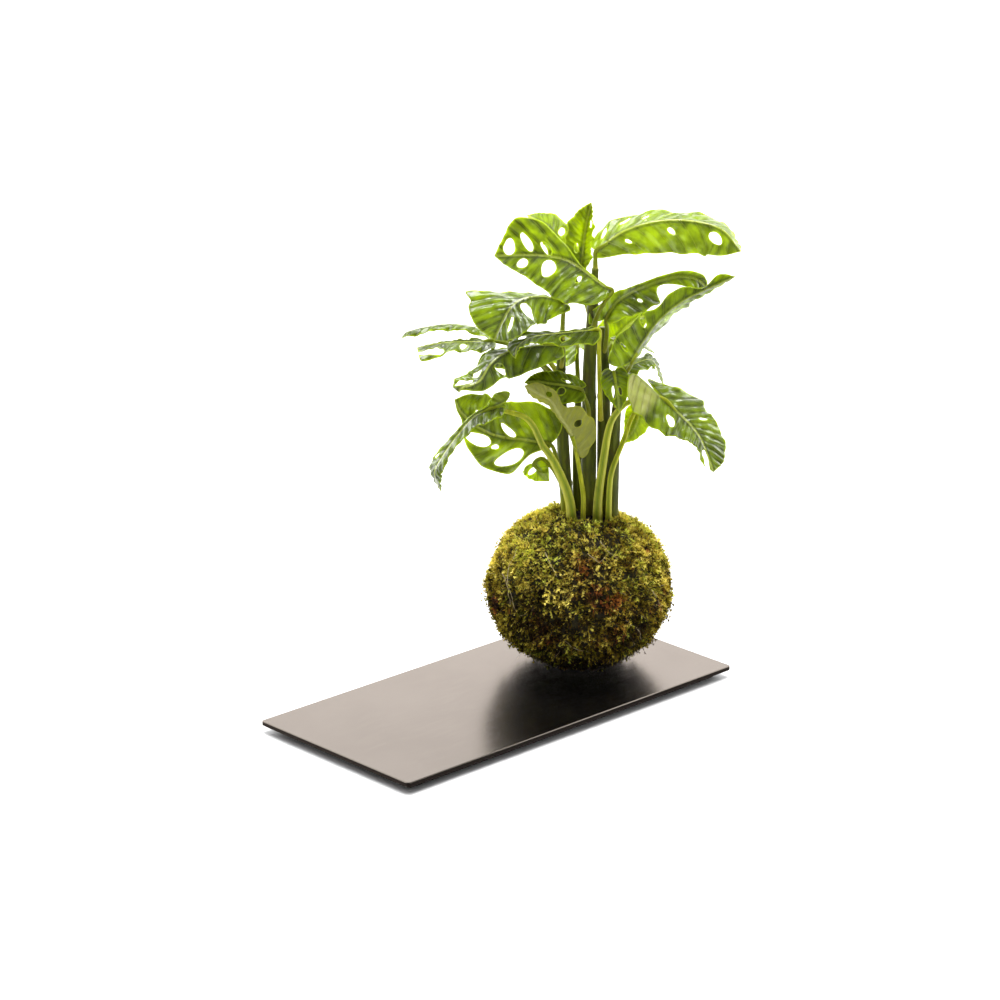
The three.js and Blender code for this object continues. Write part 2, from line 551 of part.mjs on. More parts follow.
// The outline of one half of a leaf, in millimetres on the flattened leaf.
function outlineOf(leaf, half) {
  const length = lengthOf(leaf.midrib);
  if (leaf.edges) {
    return leaf.edges[half].map(([x, y]) => ({ x: length * x, y: leaf.width[half] * y }));
  }
  const lobe = (leaf.lobe || usualLobe)[half];
  const taper = (leaf.taper || evenHalves)[half];
  const belly = (leaf.belly || evenHalves)[half];
  return outline.map(([x, y]) => ({
    x: length * (x < 0 ? x * lobe : x + belly * x * Math.sin(Math.PI * x)),
    y: leaf.width[half] * y * (1 - taper * Math.max(0, 1 - Math.max(x, 0) / taperReach)),
  }));
}

// A leaf blade: rows fan out from the midrib to the outline, and both faces are split alike.
function blade(leaf) {
  const length = lengthOf(leaf.midrib);
  const edges = [outlineOf(leaf, 0), outlineOf(leaf, 1)];
  const last = edges[0].length - 1;
  const places = [-2, -1, 0, 1, 2];
  const spots = [];
  const rows = edges[0].map((end, i) => {
    const middle = (end.x + edges[1][i].x) / 2;
    const foot = THREE.MathUtils.clamp(middle, i * rowStep * length, (1 - (last - i) * rowStep) * length);
    if (i === 0 || i === last) {
      const tip = spots.push({ x: foot, y: 0 }) - 1;
      return places.map(() => tip);
    }
    return places.map((k) => {
      const part = Math.abs(k) / 2;
      const edge = edges[k > 0 ? 0 : 1][i];
      const x = THREE.MathUtils.lerp(foot, edge.x, part);
      return spots.push({ x, y: Math.sign(k) * part * edge.y }) - 1;
    });
  });
  const upper = [];
  const lower = [];
  for (const { x, y } of spots) {
    const { point, normal } = onLeaf(leaf, x, y);
    upper.push(point.clone().addScaledVector(normal, bladeThickness / 2));
    lower.push(point.clone().addScaledVector(normal, -bladeThickness / 2));
  }
  const under = spots.length;
  const faces = [];
  for (let i = 0; i < last; i += 1) {
    for (let k = 0; k < 4; k += 1) {
      const [a, b] = [rows[i][k], rows[i][k + 1]];
      const [c, d] = [rows[i + 1][k], rows[i + 1][k + 1]];
      for (const [p, q, r] of [[a, b, d], [a, d, c]]) {
        if (p !== q && q !== r && r !== p) {
          faces.push([p, q, r], [p + under, r + under, q + under]);
        }
      }
    }
    const [rightA, rightB] = [rows[i][0], rows[i + 1][0]];
    const [leftA, leftB] = [rows[i][4], rows[i + 1][4]];
    faces.push([rightA, rightB, rightB + under], [rightA, rightB + under, rightA + under]);
    faces.push([leftA, leftB + under, leftB], [leftA, leftA + under, leftB + under]);
  }
  return closedSolid([...upper, ...lower], faces);
}

// The plug that cuts one hole: an ellipse, square through the blade.
function holePlug(leaf, [placeAlong, placeAcross, holeLength, holeWidth, holeSlant]) {
  const length = lengthOf(leaf.midrib);
  const side = Math.sign(placeAcross);
  const veinSlant = THREE.MathUtils.lerp(...holeSlants, placeAlong);
  const slant = THREE.MathUtils.degToRad(holeSlant === undefined ? veinSlant : holeSlant) * side;
  const sides = holeLength > largeHole ? 8 : 6;
  const upper = [];
  const lower = [];
  for (let k = 0; k < sides; k += 1) {
    const angle = (2 * Math.PI * k) / sides;
    const a = (holeLength / 2) * Math.cos(angle);
    const b = (holeWidth / 2) * Math.sin(angle);
    const x = placeAlong * length + a * Math.cos(slant) - b * Math.sin(slant);
    const y = placeAcross * leaf.width[side > 0 ? 0 : 1] + a * Math.sin(slant) + b * Math.cos(slant);
    const { point, normal } = onLeaf(leaf, x, y);
    upper.push(point.clone().addScaledVector(normal, holeReach));
    lower.push(point.clone().addScaledVector(normal, -holeReach));
  }
  const faces = [];
  for (let k = 0; k < sides; k += 1) {
    const next = (k + 1) % sides;
    faces.push([k, next, next + sides], [k, next + sides, k + sides]);
  }
  for (let k = 1; k < sides - 1; k += 1) {
    faces.push([0, k + 1, k], [sides, sides + k, sides + k + 1]);
  }
  return closedSolid([...upper, ...lower], faces);
}

// The petiole runs on a little way under the blade, where it becomes the midrib.
function petioleTube(leaf, extra) {
  const { point, normal } = onLeaf(leaf, ribReach, 0);
  const points = [...leaf.petiole, point.addScaledVector(normal, -ribDrop).toArray()];
  const radii = [(leaf.foot || petioleFootRadius) + extra, petioleTopRadius + extra];
  return taperedTube(points, radii, petioleTaper, petioleSides, points.length + 2);
}

function stemTube(stem, extra) {
  return taperedTube(stem.points, stem.radii.map((r) => r + extra), stemTaper, stemSides, stemSteps);
}

function leafSolid(leaf) {
  let solid = blade(leaf);
  for (const hole of leaf.holes) {
    solid = solid.subtract(holePlug(leaf, hole));
  }
  solid = solid.add(petioleTube(leaf, 0));
  for (const stem of stems) {
    solid = solid.subtract(stemTube(stem, seatGap));
  }
  return solid;
}

// A repeatable number from 0 to 1 for a direction.
function grain(d) {
  const value = Math.sin(d.x * 127.1 + d.y * 311.7 + d.z * 74.7) * 43758.5453;
  return value - Math.floor(value);
}

// A ball of the given size, drawn out or in by a height for each direction, and cut flat below.
function ball(radius, halfHeight, detail, height) {
  const geometry = new THREE.IcosahedronGeometry(1, detail);
  const position = geometry.attributes.position;
  const d = new THREE.Vector3();
  for (let i = 0; i < position.count; i += 1) {
    d.fromBufferAttribute(position, i).normalize();
    const out = height(d);
    const low = -halfHeight + ballFlat;
    position.setXYZ(i, d.x * (radius + out), d.y * (radius + out), Math.max(d.z * (halfHeight + out), low));
  }
  return solidOf(geometry).translate([0, 0, ballCentre]);
}

// The tufts of the moss, in millimetres over the ball.
function tufts(d) {
  const swell = Math.sin(5 * d.x + 1.3) * Math.sin(6 * d.y + 0.4) * Math.sin(5 * d.z + 2.1);
  const key = new THREE.Vector3(Math.round(d.x * 400), Math.round(d.y * 400), Math.round(d.z * 400));
  return mossRelief * (0.35 * swell + grain(key.divideScalar(400)) - 0.4);
}

function mossCover() {
  const inner = ball(ballRadius - mossThickness, ballHalfHeight - mossThickness, soilDetail, () => 0);
  const mouth = new THREE.CylinderGeometry(mossMouthRadius, mossMouthRadius, ballHalfHeight, mossMouthSides);
  mouth.rotateX(Math.PI / 2);
  mouth.translate(...mossMouthPlace, 2 * ballCentre);
  return ball(ballRadius, ballHalfHeight, mossDetail, tufts).subtract(inner).subtract(solidOf(mouth));
}

function soilBall() {
  const size = mossThickness + 2 * seatGap;
  let soil = ball(ballRadius - size, ballHalfHeight - size, soilDetail, () => 0);
  for (const stem of stems) {
    soil = soil.subtract(stemTube(stem, seatGap));
  }
  for (const leaf of leaves) {
    soil = soil.subtract(petioleTube(leaf, seatGap));
  }
  return soil;
}

// A flat slab with rounded corners and bevelled edges, from its lowest height up.
function slab(length, width, thickness, low) {
  const [x, y, r] = [length / 2 - trayBevel, width / 2 - trayBevel, trayCornerRadius];
  const shape = new THREE.Shape();
  shape.absarc(x - r, r - y, r, -Math.PI / 2, 0);
  shape.absarc(x - r, y - r, r, 0, Math.PI / 2);
  shape.absarc(r - x, y - r, r, Math.PI / 2, Math.PI);
  shape.absarc(r - x, r - y, r, Math.PI, 1.5 * Math.PI);
  shape.closePath();
  const geometry = new THREE.ExtrudeGeometry(shape, {
    depth: thickness - 2 * trayBevel,
    bevelSize: trayBevel,
    bevelThickness: trayBevel,
    bevelSegments: 1,
    curveSegments: 2,
  });
  return geometry.translate(0, 0, low + trayBevel);
}

const finishes = {
  tray: new THREE.MeshStandardMaterial({ color: 0x15120f, roughness: 0.35, metalness: 0.1 }),
  soil: new THREE.MeshStandardMaterial({ color: 0x1f150c, roughness: 0.95, metalness: 0 }),
  moss: new THREE.MeshStandardMaterial({ color: 0x6f7a24, roughness: 0.95, metalness: 0 }),
  stem: new THREE.MeshStandardMaterial({ color: 0x4d5f1c, roughness: 0.55, metalness: 0 }),
  leaf: new THREE.MeshStandardMaterial({ color: 0x4c8a1c, roughness: 0.35, metalness: 0 }),
};

function add(group, name, geometry, material) {
  const mesh = new THREE.Mesh(geometry, material);
  mesh.name = name;
  group.add(mesh);
  return mesh;
}

const model = new THREE.Group();
add(model, "tray_plate", slab(trayLength, trayWidth, trayThickness, baseHeight), finishes.tray);
const base = slab(trayLength - 2 * baseInset, trayWidth - 2 * baseInset, baseHeight, 0);
add(model, "tray_base", base, finishes.tray);

const plant = new THREE.Group();
plant.position.set(ballPlace[0], ballPlace[1], baseHeight + trayThickness + seatGap);
plant.rotation.z = THREE.MathUtils.degToRad(plantTurn);
model.add(plant);
add(plant, "soil_ball", geometryOf(soilBall()), finishes.soil);
add(plant, "moss_cover", geometryOf(mossCover()), finishes.moss);
for (const stem of stems) {
  add(plant, `stem_${stem.name}`, geometryOf(stemTube(stem, 0)), finishes.stem);
}
for (const leaf of leaves) {
  add(plant, `leaf_${leaf.name}`, geometryOf(leafSolid(leaf)), finishes.leaf);
}

// The origin goes to the floor under the middle of the whole object.
model.updateMatrixWorld(true);
const middle = new THREE.Box3().setFromObject(model, true).getCenter(new THREE.Vector3());
model.position.set(-middle.x, -middle.y, 0);

export default model;
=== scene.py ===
# Kokedama: a young plant with holed leaves, its root ball wrapped in moss, on a flat black tray.
# The scene is in metres. The plant's own tables are in millimetres from the foot of the ball.
import math

import bpy
import numpy as np
from mathutils import Matrix, Vector
from mathutils.geometry import delaunay_2d_cdt


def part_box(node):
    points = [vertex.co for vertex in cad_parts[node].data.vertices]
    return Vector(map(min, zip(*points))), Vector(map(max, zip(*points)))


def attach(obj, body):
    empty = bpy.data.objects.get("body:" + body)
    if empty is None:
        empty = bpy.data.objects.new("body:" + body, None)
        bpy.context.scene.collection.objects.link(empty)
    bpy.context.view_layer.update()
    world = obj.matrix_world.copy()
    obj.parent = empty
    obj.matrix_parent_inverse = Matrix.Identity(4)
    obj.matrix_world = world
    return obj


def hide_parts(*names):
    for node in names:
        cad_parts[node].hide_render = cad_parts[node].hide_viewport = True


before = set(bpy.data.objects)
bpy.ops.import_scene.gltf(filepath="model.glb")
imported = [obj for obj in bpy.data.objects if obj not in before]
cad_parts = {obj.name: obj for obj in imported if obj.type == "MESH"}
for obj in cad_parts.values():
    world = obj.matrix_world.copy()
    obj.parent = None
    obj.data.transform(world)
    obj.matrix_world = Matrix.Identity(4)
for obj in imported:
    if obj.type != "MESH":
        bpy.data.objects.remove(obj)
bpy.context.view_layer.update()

plateLow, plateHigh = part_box("tray_plate")
trayMiddle = (plateLow + plateHigh) / 2
plant = {
    "foot": (0.080, 0.006),  # from the middle of the tray
    "lift": 0.0003,
    "turn": -43.4,
}
plantFoot = Vector((
    trayMiddle.x + plant["foot"][0],
    trayMiddle.y + plant["foot"][1],
    plateHigh.z + plant["lift"],
))
plantTurn = Matrix.Rotation(math.radians(plant["turn"]), 4, "Z")
plantFrame = np.array(Matrix.Translation(plantFoot) @ plantTurn @ Matrix.Scale(0.001, 4))
print("frame loaded:", len(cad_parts), "nodes")


# Shader values and materials

class Sock:
    # one output of a node; sums and products of values become Math nodes
    def __init__(self, finish, link):
        self.finish = finish
        self.link = link

    def calc(self, operation, *values):
        return self.finish.node("ShaderNodeMath", {"operation": operation}, dict(enumerate(values)))

    def __add__(self, other):
        return self.calc("ADD", self, other)

    def __mul__(self, other):
        return self.calc("MULTIPLY", self, other)

    def __sub__(self, other):
        return self.calc("SUBTRACT", self, other)

    def __rsub__(self, other):
        return self.calc("SUBTRACT", other, self)

    def __abs__(self):
        return self.calc("ABSOLUTE", self)

    __radd__ = __add__
    __rmul__ = __mul__

    def fraction(self):
        return self.calc("FRACT", self)

    def eased(self, low, high):
        # 0 below low and 1 above high
        values = {"Value": self, "From Min": low, "From Max": high}
        return self.finish.node("ShaderNodeMapRange", {"interpolation_type": "SMOOTHSTEP"}, values)


class Finish:
    # one material and its nodes
    def __init__(self, name):
        self.material = bpy.data.materials.new(name)
        self.material.use_nodes = True
        self.tree = self.material.node_tree
        self.tree.nodes.clear()

    def node(self, kind, settings, values, output=0):
        made = self.tree.nodes.new(kind)
        for key, value in settings.items():
            setattr(made, key, value)
        for key, value in values.items():
            if isinstance(value, Sock):
                self.tree.links.new(value.link, made.inputs[key])
            elif made.inputs[key].type == "RGBA":
                made.inputs[key].default_value = (*value, 1)
            else:
                made.inputs[key].default_value = value
        return Sock(self, made.outputs[output])

    def attribute(self, name):
        return self.node("ShaderNodeAttribute", {"attribute_name": name}, {}, "Fac")

    def place(self):
        return self.node("ShaderNodeTexCoord", {}, {}, "Object")

    def noise(self, scale, detail, stretch=(1, 1, 1)):
        place = self.node("ShaderNodeMapping", {}, {"Vector": self.place(), "Scale": stretch})
        return self.noiseAt(place, scale, detail)

    def noiseAt(self, place, scale, detail):
        return self.node("ShaderNodeTexNoise", {}, {"Vector": place, "Scale": scale, "Detail": detail})

    def cells(self, scale):
        values = {"Vector": self.place(), "Scale": scale}
        return self.node("ShaderNodeTexVoronoi", {"feature": "DISTANCE_TO_EDGE"}, values, "Distance")

    def mix(self, share, first, second):
        return self.node("ShaderNodeMix", {"data_type": "RGBA"}, {0: share, 6: first, 7: second}, 2)

    def bump(self, height, depth, strength=1.0):
        return self.node("ShaderNodeBump", {}, {"Height": height, "Strength": strength, "Distance": depth})

    def plain(self, values):
        return self.node("ShaderNodeBsdfPrincipled", {}, values)

    def through(self, share, shader, colour):
        # a share of the light passes through and takes a colour
        glow = self.node("ShaderNodeBsdfTranslucent", {}, {"Color": colour})
        return self.node("ShaderNodeMixShader", {}, {0: share, 1: shader, 2: glow})

    def done(self, shader):
        surface = self.tree.nodes.new("ShaderNodeOutputMaterial")
        self.tree.links.new(shader.link, surface.inputs["Surface"])
        return self.material


def bladeFinish(name, look):
    f = Finish(name)
    tone = f.attribute("tone")
    spread = f.attribute("across")
    across = abs(spread)
    phase = f.attribute("veins")
    under = f.attribute("under")
    toVein = 0.5 - abs(phase.fraction() - 0.5)
    vein = 1 - toVein.eased(0.0, look["veinWidth"])
    midrib = 1 - across.eased(0.45, 1.0)
    net = 1 - f.cells(620).eased(0.0, 0.12)
    patches = f.noise(75, 5).eased(0.38, 0.62)
    crumple = f.noise(260, 3)
    grain = f.noise(900, 2)
    # streaks that follow the side veins
    place = f.node("ShaderNodeCombineXYZ", {}, {"X": phase * 2.2, "Y": spread * 0.15, "Z": tone * 9})
    streaks = f.noiseAt(place, 1.0, 4)
    shine = (streaks * 0.65 + f.noise(110, 3) * 0.35).eased(0.43, 0.54)
    # painted highlight along the leaf's edge, where backlight glows: the colour goes to the rim colour and
    # more light passes through
    edge = 1 - f.attribute("rim").eased(0.2, 1.1)
    lines = 1 - (1 - vein * 0.75) * (1 - midrib) * (1 - net * 0.12)
    # painted shade in the sunken groove beside the midrib: darker colour there, and less light passes
    # through
    midribShade = across.eased(0.6, 1.2) * (1 - across.eased(1.4, 3.2))
    # painted shade in the creases along the side veins, deeper where the colour patches are dark; less light
    # passes through there too
    creaseShade = (1 - toVein.eased(0.04, 0.3)) * (1 - vein) * across.eased(1.0, 3.0)
    creaseShade = creaseShade * look["creaseShade"] * (0.35 + (1 - patches) * 0.65)
    fair = patches * 0.6 + streaks.eased(0.32, 0.68) * 0.4
    upper = f.mix(tone * 0.5 + fair * (0.25 + tone * 0.6), look["dark"], look["light"])
    upper = f.mix(midribShade * 0.8 + creaseShade, upper, look["dark"])
    upper = f.mix(f.attribute("fade"), upper, look["faded"])
    upper = f.mix(edge, upper, look["rim"])
    upper = f.mix(lines * look["veinShow"], upper, look["vein"])
    lower = f.mix(lines * 0.5, look["back"], look["vein"])
    height = grain * 0.1 + net * 0.14 - vein * 0.6 + toVein * 0.5 + crumple * look["crumple"]
    shader = f.plain({
        "Base Color": f.mix(under, upper, lower),
        "Roughness": look["rough"] + grain * 0.1 + under * 0.2,
        "Specular IOR Level": look["gloss"],
        "Coat Weight": f.attribute("polish") * (0.1 + shine * 0.9) * (1 - under * 0.8),
        "Coat Roughness": 0.17,
        "Coat IOR": 1.7,
        "Normal": f.bump(height, 0.0011),
    })
    share = look["through"] * (0.4 + tone.eased(0.0, 0.6) * 0.6) * (1 - midrib * 0.6) * (1 - vein * 0.25)
    share = share * (0.5 + fair * 0.7) * (1 - creaseShade * 0.7) * (1 - midribShade * 0.4) + edge * 0.22
    return f.done(f.through(share, shader, look["glow"]))


# creaseShade is the strength of the painted shade in the creases along the side veins
freshBlade = {
    "dark": (0.035, 0.058, 0.001), "light": (0.17, 0.25, 0.005), "vein": (0.45, 0.50, 0.06),
    "rim": (0.48, 0.57, 0.04), "back": (0.12, 0.17, 0.004), "glow": (0.78, 0.92, 0.010),
    "faded": (0.42, 0.42, 0.13), "rough": 0.36, "gloss": 0.15, "through": 0.5, "veinShow": 0.7,
    "veinWidth": 0.05, "crumple": 0.7, "creaseShade": 0.3,
}
grownBlade = {
    **freshBlade,
    "dark": (0.008, 0.014, 0.0006), "light": (0.095, 0.150, 0.004), "vein": (0.34, 0.39, 0.05),
    "rim": (0.32, 0.40, 0.03), "back": (0.06, 0.085, 0.003), "glow": (0.74, 0.88, 0.008),
    "through": 0.48, "veinShow": 0.75, "crumple": 1.1, "creaseShade": 0.7,
}
paleBlade = {
    **freshBlade,
    "dark": (0.20, 0.21, 0.05), "light": (0.42, 0.43, 0.13), "vein": (0.50, 0.51, 0.17),
    "rim": (0.34, 0.35, 0.08), "back": (0.28, 0.29, 0.06), "glow": (0.76, 0.78, 0.06),
    "rough": 0.45, "gloss": 0.25, "through": 0.36, "veinShow": 0.5, "crumple": 0.8, "creaseShade": 0.5,
}
bladeFinishes = {
    "fresh": bladeFinish("leaf_fresh", freshBlade),
    "grown": bladeFinish("leaf_grown", grownBlade),
    "pale": bladeFinish("leaf_pale", paleBlade),
    "shaded": bladeFinish("leaf_shaded", {**grownBlade, "gloss": 0.02, "creaseShade": 0.4}),
}


def stalkFinish(name, look):
    f = Finish(name)
    along = f.attribute("along")
    furrow = f.attribute("furrow")
    tone = f.attribute("tone")
    streaks = f.noise(400, 3, (1, 1, 0.12))
    patches = f.noise(70, 4).eased(look["patchFrom"], look["patchFrom"] + 0.12)
    specks = f.noise(1300, 2).eased(0.58, 0.7)
    foot = 1 - along.eased(0.0, look["footReach"])
    colour = f.mix(streaks.eased(0.35, 0.7), look["dark"], look["light"])
    layers = [
        (1 - tone, "shade"),
        (foot * 0.8, "foot"),
        (patches * look["patchShow"] * tone, "patch"),
        (specks * 0.35, "patch"),
        (along.eased(0.75, 0.95) * look["topShow"], "top"),
        # painted shade down in the furrow, which also lets less light through
        (furrow * 0.9, "furrow"),
        (f.attribute("border") * 0.8, "border"),
    ]
    for share, layer in layers:
        colour = f.mix(share, colour, look[layer])
    shader = f.plain({
        "Base Color": colour,
        "Roughness": 0.36 + streaks * 0.18,
        "Specular IOR Level": 0.16,
        "Normal": f.bump(streaks * 0.7 + specks * 0.3, 0.0004),
    })
    share = look["through"] * (0.4 + tone * 0.6) * (1 - furrow * 0.8)
    return f.done(f.through(share, shader, look["glow"]))


petioleLook = stalkFinish("petiole", {
    "dark": (0.32, 0.34, 0.010), "light": (0.64, 0.64, 0.045), "furrow": (0.14, 0.21, 0.010),
    "border": (0.80, 0.78, 0.22), "shade": (0.08, 0.11, 0.004), "foot": (0.50, 0.45, 0.05),
    "patch": (0.11, 0.07, 0.010), "glow": (0.78, 0.78, 0.03), "top": (0.26, 0.32, 0.010),
    "topShow": 0.8, "footReach": 0.25, "patchFrom": 0.62, "patchShow": 0.5, "through": 0.3,
})
stemLook = stalkFinish("stem", {
    "dark": (0.032, 0.042, 0.002), "light": (0.125, 0.150, 0.006), "furrow": (0.02, 0.025, 0.003),
    "border": (0.30, 0.32, 0.05), "shade": (0.06, 0.07, 0.004), "foot": (0.20, 0.19, 0.016),
    "patch": (0.06, 0.044, 0.008), "glow": (0.60, 0.64, 0.02), "top": (0.12, 0.15, 0.006),
    "topShow": 0.3, "footReach": 0.2, "patchFrom": 0.54, "patchShow": 0.7, "through": 0.12,
})


def mossFinish():
    f = Finish("moss_frond")
    tone = f.attribute("tone")
    warm = f.attribute("warm")
    tip = f.attribute("tip")
    # tone carries painted light and shade, so its bright gold and green ends are partly a painted highlight
    # on the lit top
    gold = f.mix(tone.eased(0.12, 0.58), (0.028, 0.016, 0.007), (0.25, 0.17, 0.014))
    gold = f.mix(tone.eased(0.45, 0.95), gold, (0.96, 0.80, 0.17))
    green = f.mix(tone.eased(0.12, 0.58), (0.016, 0.018, 0.005), (0.13, 0.15, 0.010))
    green = f.mix(tone.eased(0.45, 0.95), green, (0.66, 0.72, 0.11))
    colour = f.mix(warm.eased(0.0, 0.3), green, gold)
    rust = (0.36, 0.11, 0.03)
    colour = f.mix(warm.eased(0.5, 1.0), colour, rust)
    # painted shade: the lower part of each frond, and all of a low-lying frond, turns near black
    rootShade = (0.008, 0.005, 0.004)
    colour = f.mix(1 - tip.eased(0.25, 0.95), colour, rootShade)
    shader = f.plain({"Base Color": colour, "Roughness": 0.7, "Specular IOR Level": 0.03})
    return f.done(f.through(tone * 0.2, shader, (0.90, 0.74, 0.05)))


def earthFinish(name, dark, light, scale):
    f = Finish(name)
    lumps = f.noise(scale, 5)
    fine = f.noise(scale * 6, 3)
    shader = f.plain({
        "Base Color": f.mix(lumps.eased(0.35, 0.7), dark, light),
        "Roughness": 0.85 + fine * 0.1,
        "Specular IOR Level": 0.3,
        "Normal": f.bump(lumps * 0.6 + fine * 0.4, 0.0012),
    })
    return f.done(shader)


def strandFinish():
    f = Finish("dry_strand")
    # real wear on the strands, lighter in patches
    wornAndEdgeSheen = f.noise(500, 3).eased(0.35, 0.7)
    colour = f.mix(wornAndEdgeSheen, (0.26, 0.19, 0.10), (0.55, 0.46, 0.26))
    return f.done(f.plain({"Base Color": colour, "Roughness": 0.55 + wornAndEdgeSheen * 0.2}))


def trayFinish(name, look):
    # dark and mirror-like along the top; down the sides the colour is painted almost black as shade, and the
    # slanted edge between gets a painted highlight
    f = Finish(name)
    cloud = f.noise(14, 4)
    grain = f.noise(240, 4, (0.15, 1, 1))
    dust = f.noise(2600, 2).eased(0.60, 0.75)
    normal = f.node("ShaderNodeNewGeometry", {}, {}, "Normal")
    upright = f.node("ShaderNodeSeparateXYZ", {}, {"Vector": normal}, 2)
    # painted highlight: a lighter band where the normal is slanted, along the edge between top and sides
    wornAndEdgeSheen = upright.eased(0.3, 0.6) * (1 - upright.eased(0.8, 0.97))
    colour = f.mix(cloud.eased(0.3, 0.7), look["dark"], look["light"])
    colour = f.mix(grain.eased(0.45, 0.75) * 0.4, colour, look["grain"])
    # painted shade: faces that do not look up take the near-black side colour, so they show almost no
    # reflection
    colour = f.mix(1 - upright.eased(0.2, 0.9), colour, look["side"])
    colour = f.mix(wornAndEdgeSheen * look["edgeSheenShow"], colour, look["wornAndEdgeSheen"])
    shader = f.plain({
        "Base Color": colour,
        "Metallic": look["metal"],
        "Specular Tint": look["tint"],
        "Roughness": look["rough"] + cloud * 0.05 + grain * 0.06 + dust * 0.08,
        "Normal": f.bump(grain * 0.6 + dust * 0.4, 0.00003, 0.4),
    })
    return f.done(shader)


mossLook = mossFinish()
matLook = earthFinish("moss_mat", (0.010, 0.008, 0.004), (0.035, 0.03, 0.010), 260)
soilLook = earthFinish("soil", (0.010, 0.007, 0.005), (0.045, 0.028, 0.016), 320)
strandLook = strandFinish()
print("finishes made")


# Shapes

def curveAt(points, place):
    # the smooth curve through the points, and its direction, for places from 0 to 1
    given = np.array(points, float)
    given = np.vstack([2 * given[0] - given[1], given, 2 * given[-1] - given[-2]])
    t = np.clip(np.atleast_1d(place), 0, 1) * (len(points) - 1)
    i = np.minimum(t.astype(int), len(points) - 2)
    f = (t - i)[:, None]
    a, b, c, d = given[i], given[i + 1], given[i + 2], given[i + 3]
    m, n = (c - a) / 2, (d - b) / 2
    point = (
        (2 * f**3 - 3 * f**2 + 1) * b + (f**3 - 2 * f**2 + f) * m
        + (3 * f**2 - 2 * f**3) * c + (f**3 - f**2) * n
    )
    way = (6 * f**2 - 6 * f) * (b - c) + (3 * f**2 - 4 * f + 1) * m + (3 * f**2 - 2 * f) * n
    return point, unit(way)


def unit(vectors):
    return vectors / np.maximum(np.linalg.norm(vectors, axis=-1, keepdims=True), 1e-9)


def eased(value, low, high):
    t = np.clip((value - low) / (high - low), 0, 1)
    return t * t * (3 - 2 * t)


def curveLength(points):
    spots, _ = curveAt(points, np.linspace(0, 1, 201))
    return np.linalg.norm(np.diff(spots, axis=0), axis=1).sum()


def onSphere(longitude, latitude):
    # directions from angles in degrees
    turn, height = np.radians(longitude), np.radians(latitude)
    return np.stack([np.cos(height) * np.cos(turn), np.cos(height) * np.sin(turn), np.sin(height)], axis=-1)


def pointValues(mesh, name, values):
    layer = mesh.attributes.new(name, "FLOAT", "POINT")
    layer.data.foreach_set("value", np.asarray(values, np.float32))


def placed(name, data):
    made = bpy.data.objects.new(name, data)
    bpy.context.scene.collection.objects.link(made)
    return made


class Skin:
    # points, faces and point values of one piece, in millimetres in the plant's frame
    names = (
        "tone", "warm", "tip", "polish", "fade",
        "across", "along", "veins", "under", "rim", "furrow", "border",
    )

    def __init__(self):
        self.points = []
        self.faces = []
        self.slots = []
        self.flat = []
        self.values = {name: [] for name in self.names}
        self.count = 0

    def add(self, points, faces, slot=0, flat=False, **values):
        self.points.append(points)
        self.addFaces([[k + self.count for k in face] for face in faces], slot, flat)
        for name in self.names:
            value = np.broadcast_to(np.asarray(values.get(name, 0.0), float), (len(points),))
            self.values[name].append(value)
        self.count += len(points)

    def addFaces(self, faces, slot=0, flat=False):
        self.faces.extend(faces)
        self.slots.extend([slot] * len(faces))
        self.flat.extend([flat] * len(faces))

    def piece(self, name, materials, used, cadNodes, slotName):
        spots = np.vstack(self.points) @ plantFrame[:3, :3].T + plantFrame[:3, 3]
        mesh = bpy.data.meshes.new(name)
        mesh.from_pydata(spots.tolist(), [], self.faces)
        for material in materials:
            mesh.materials.append(material)
        mesh.polygons.foreach_set("material_index", self.slots)
        mesh.polygons.foreach_set("use_smooth", [not flat for flat in self.flat])
        for value in used:
            pointValues(mesh, value, np.concatenate(self.values[value]))
        mesh.update()
        piece = placed(name, mesh)
        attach(piece, "root")
        if cadNodes:
            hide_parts(*cadNodes)
        return piece


def tube(
    skin, points, radius, sides, steps, slot=0, tone=0.5,
    furrow=0.0, furrowWay=(0, 0, 1), furrowWidth=0.55,
):
    # a stalk: radius gives its size for places from 0 to 1, and a furrow with pale borders runs along
    # the side of furrowWay, as wide as furrowWidth in radians
    place = np.linspace(0, 1, steps + 1)
    centre, way = curveAt(points, place)
    size = radius(place)
    depth = furrow(place) if callable(furrow) else np.full(steps + 1, furrow)
    side = np.array(furrowWay, float)
    angle = np.arange(sides) * 2 * math.pi / sides
    turned = np.minimum(angle, 2 * math.pi - angle)
    bottom = np.exp(-((turned / furrowWidth) ** 2))
    borderWidth = 0.24
    border = np.exp(-(((turned - 1.4 * furrowWidth) / borderWidth) ** 2))
    rings = []
    for i in range(steps + 1):
        side = unit(side - way[i] * side.dot(way[i]))
        across = np.cross(way[i], side)
        r = (size[i] * (1 - depth[i] * bottom))[:, None]
        rings.append(centre[i] + r * (np.cos(angle)[:, None] * side + np.sin(angle)[:, None] * across))
    rings += [centre[:1], centre[-1:]]
    faces = []
    for i in range(steps):
        for k in range(sides):
            a, b = i * sides + k, i * sides + (k + 1) % sides
            faces.append([a, b, b + sides, a + sides])
    foot = (steps + 1) * sides
    last = steps * sides
    for k in range(sides):
        after = (k + 1) % sides
        faces.append([foot, after, k])
        faces.append([foot + 1, last + k, last + after])
    skin.add(
        np.vstack(rings), faces, slot=slot, tone=tone,
        along=np.append(np.repeat(place, sides), [0, 1]),
        furrow=np.append(np.outer(np.minimum(depth * 3, 1), bottom), [0, 0]),
        border=np.append(np.outer(np.clip(depth * 3 - 0.7, 0, 1), border), [0, 0]),
    )


# Leaves

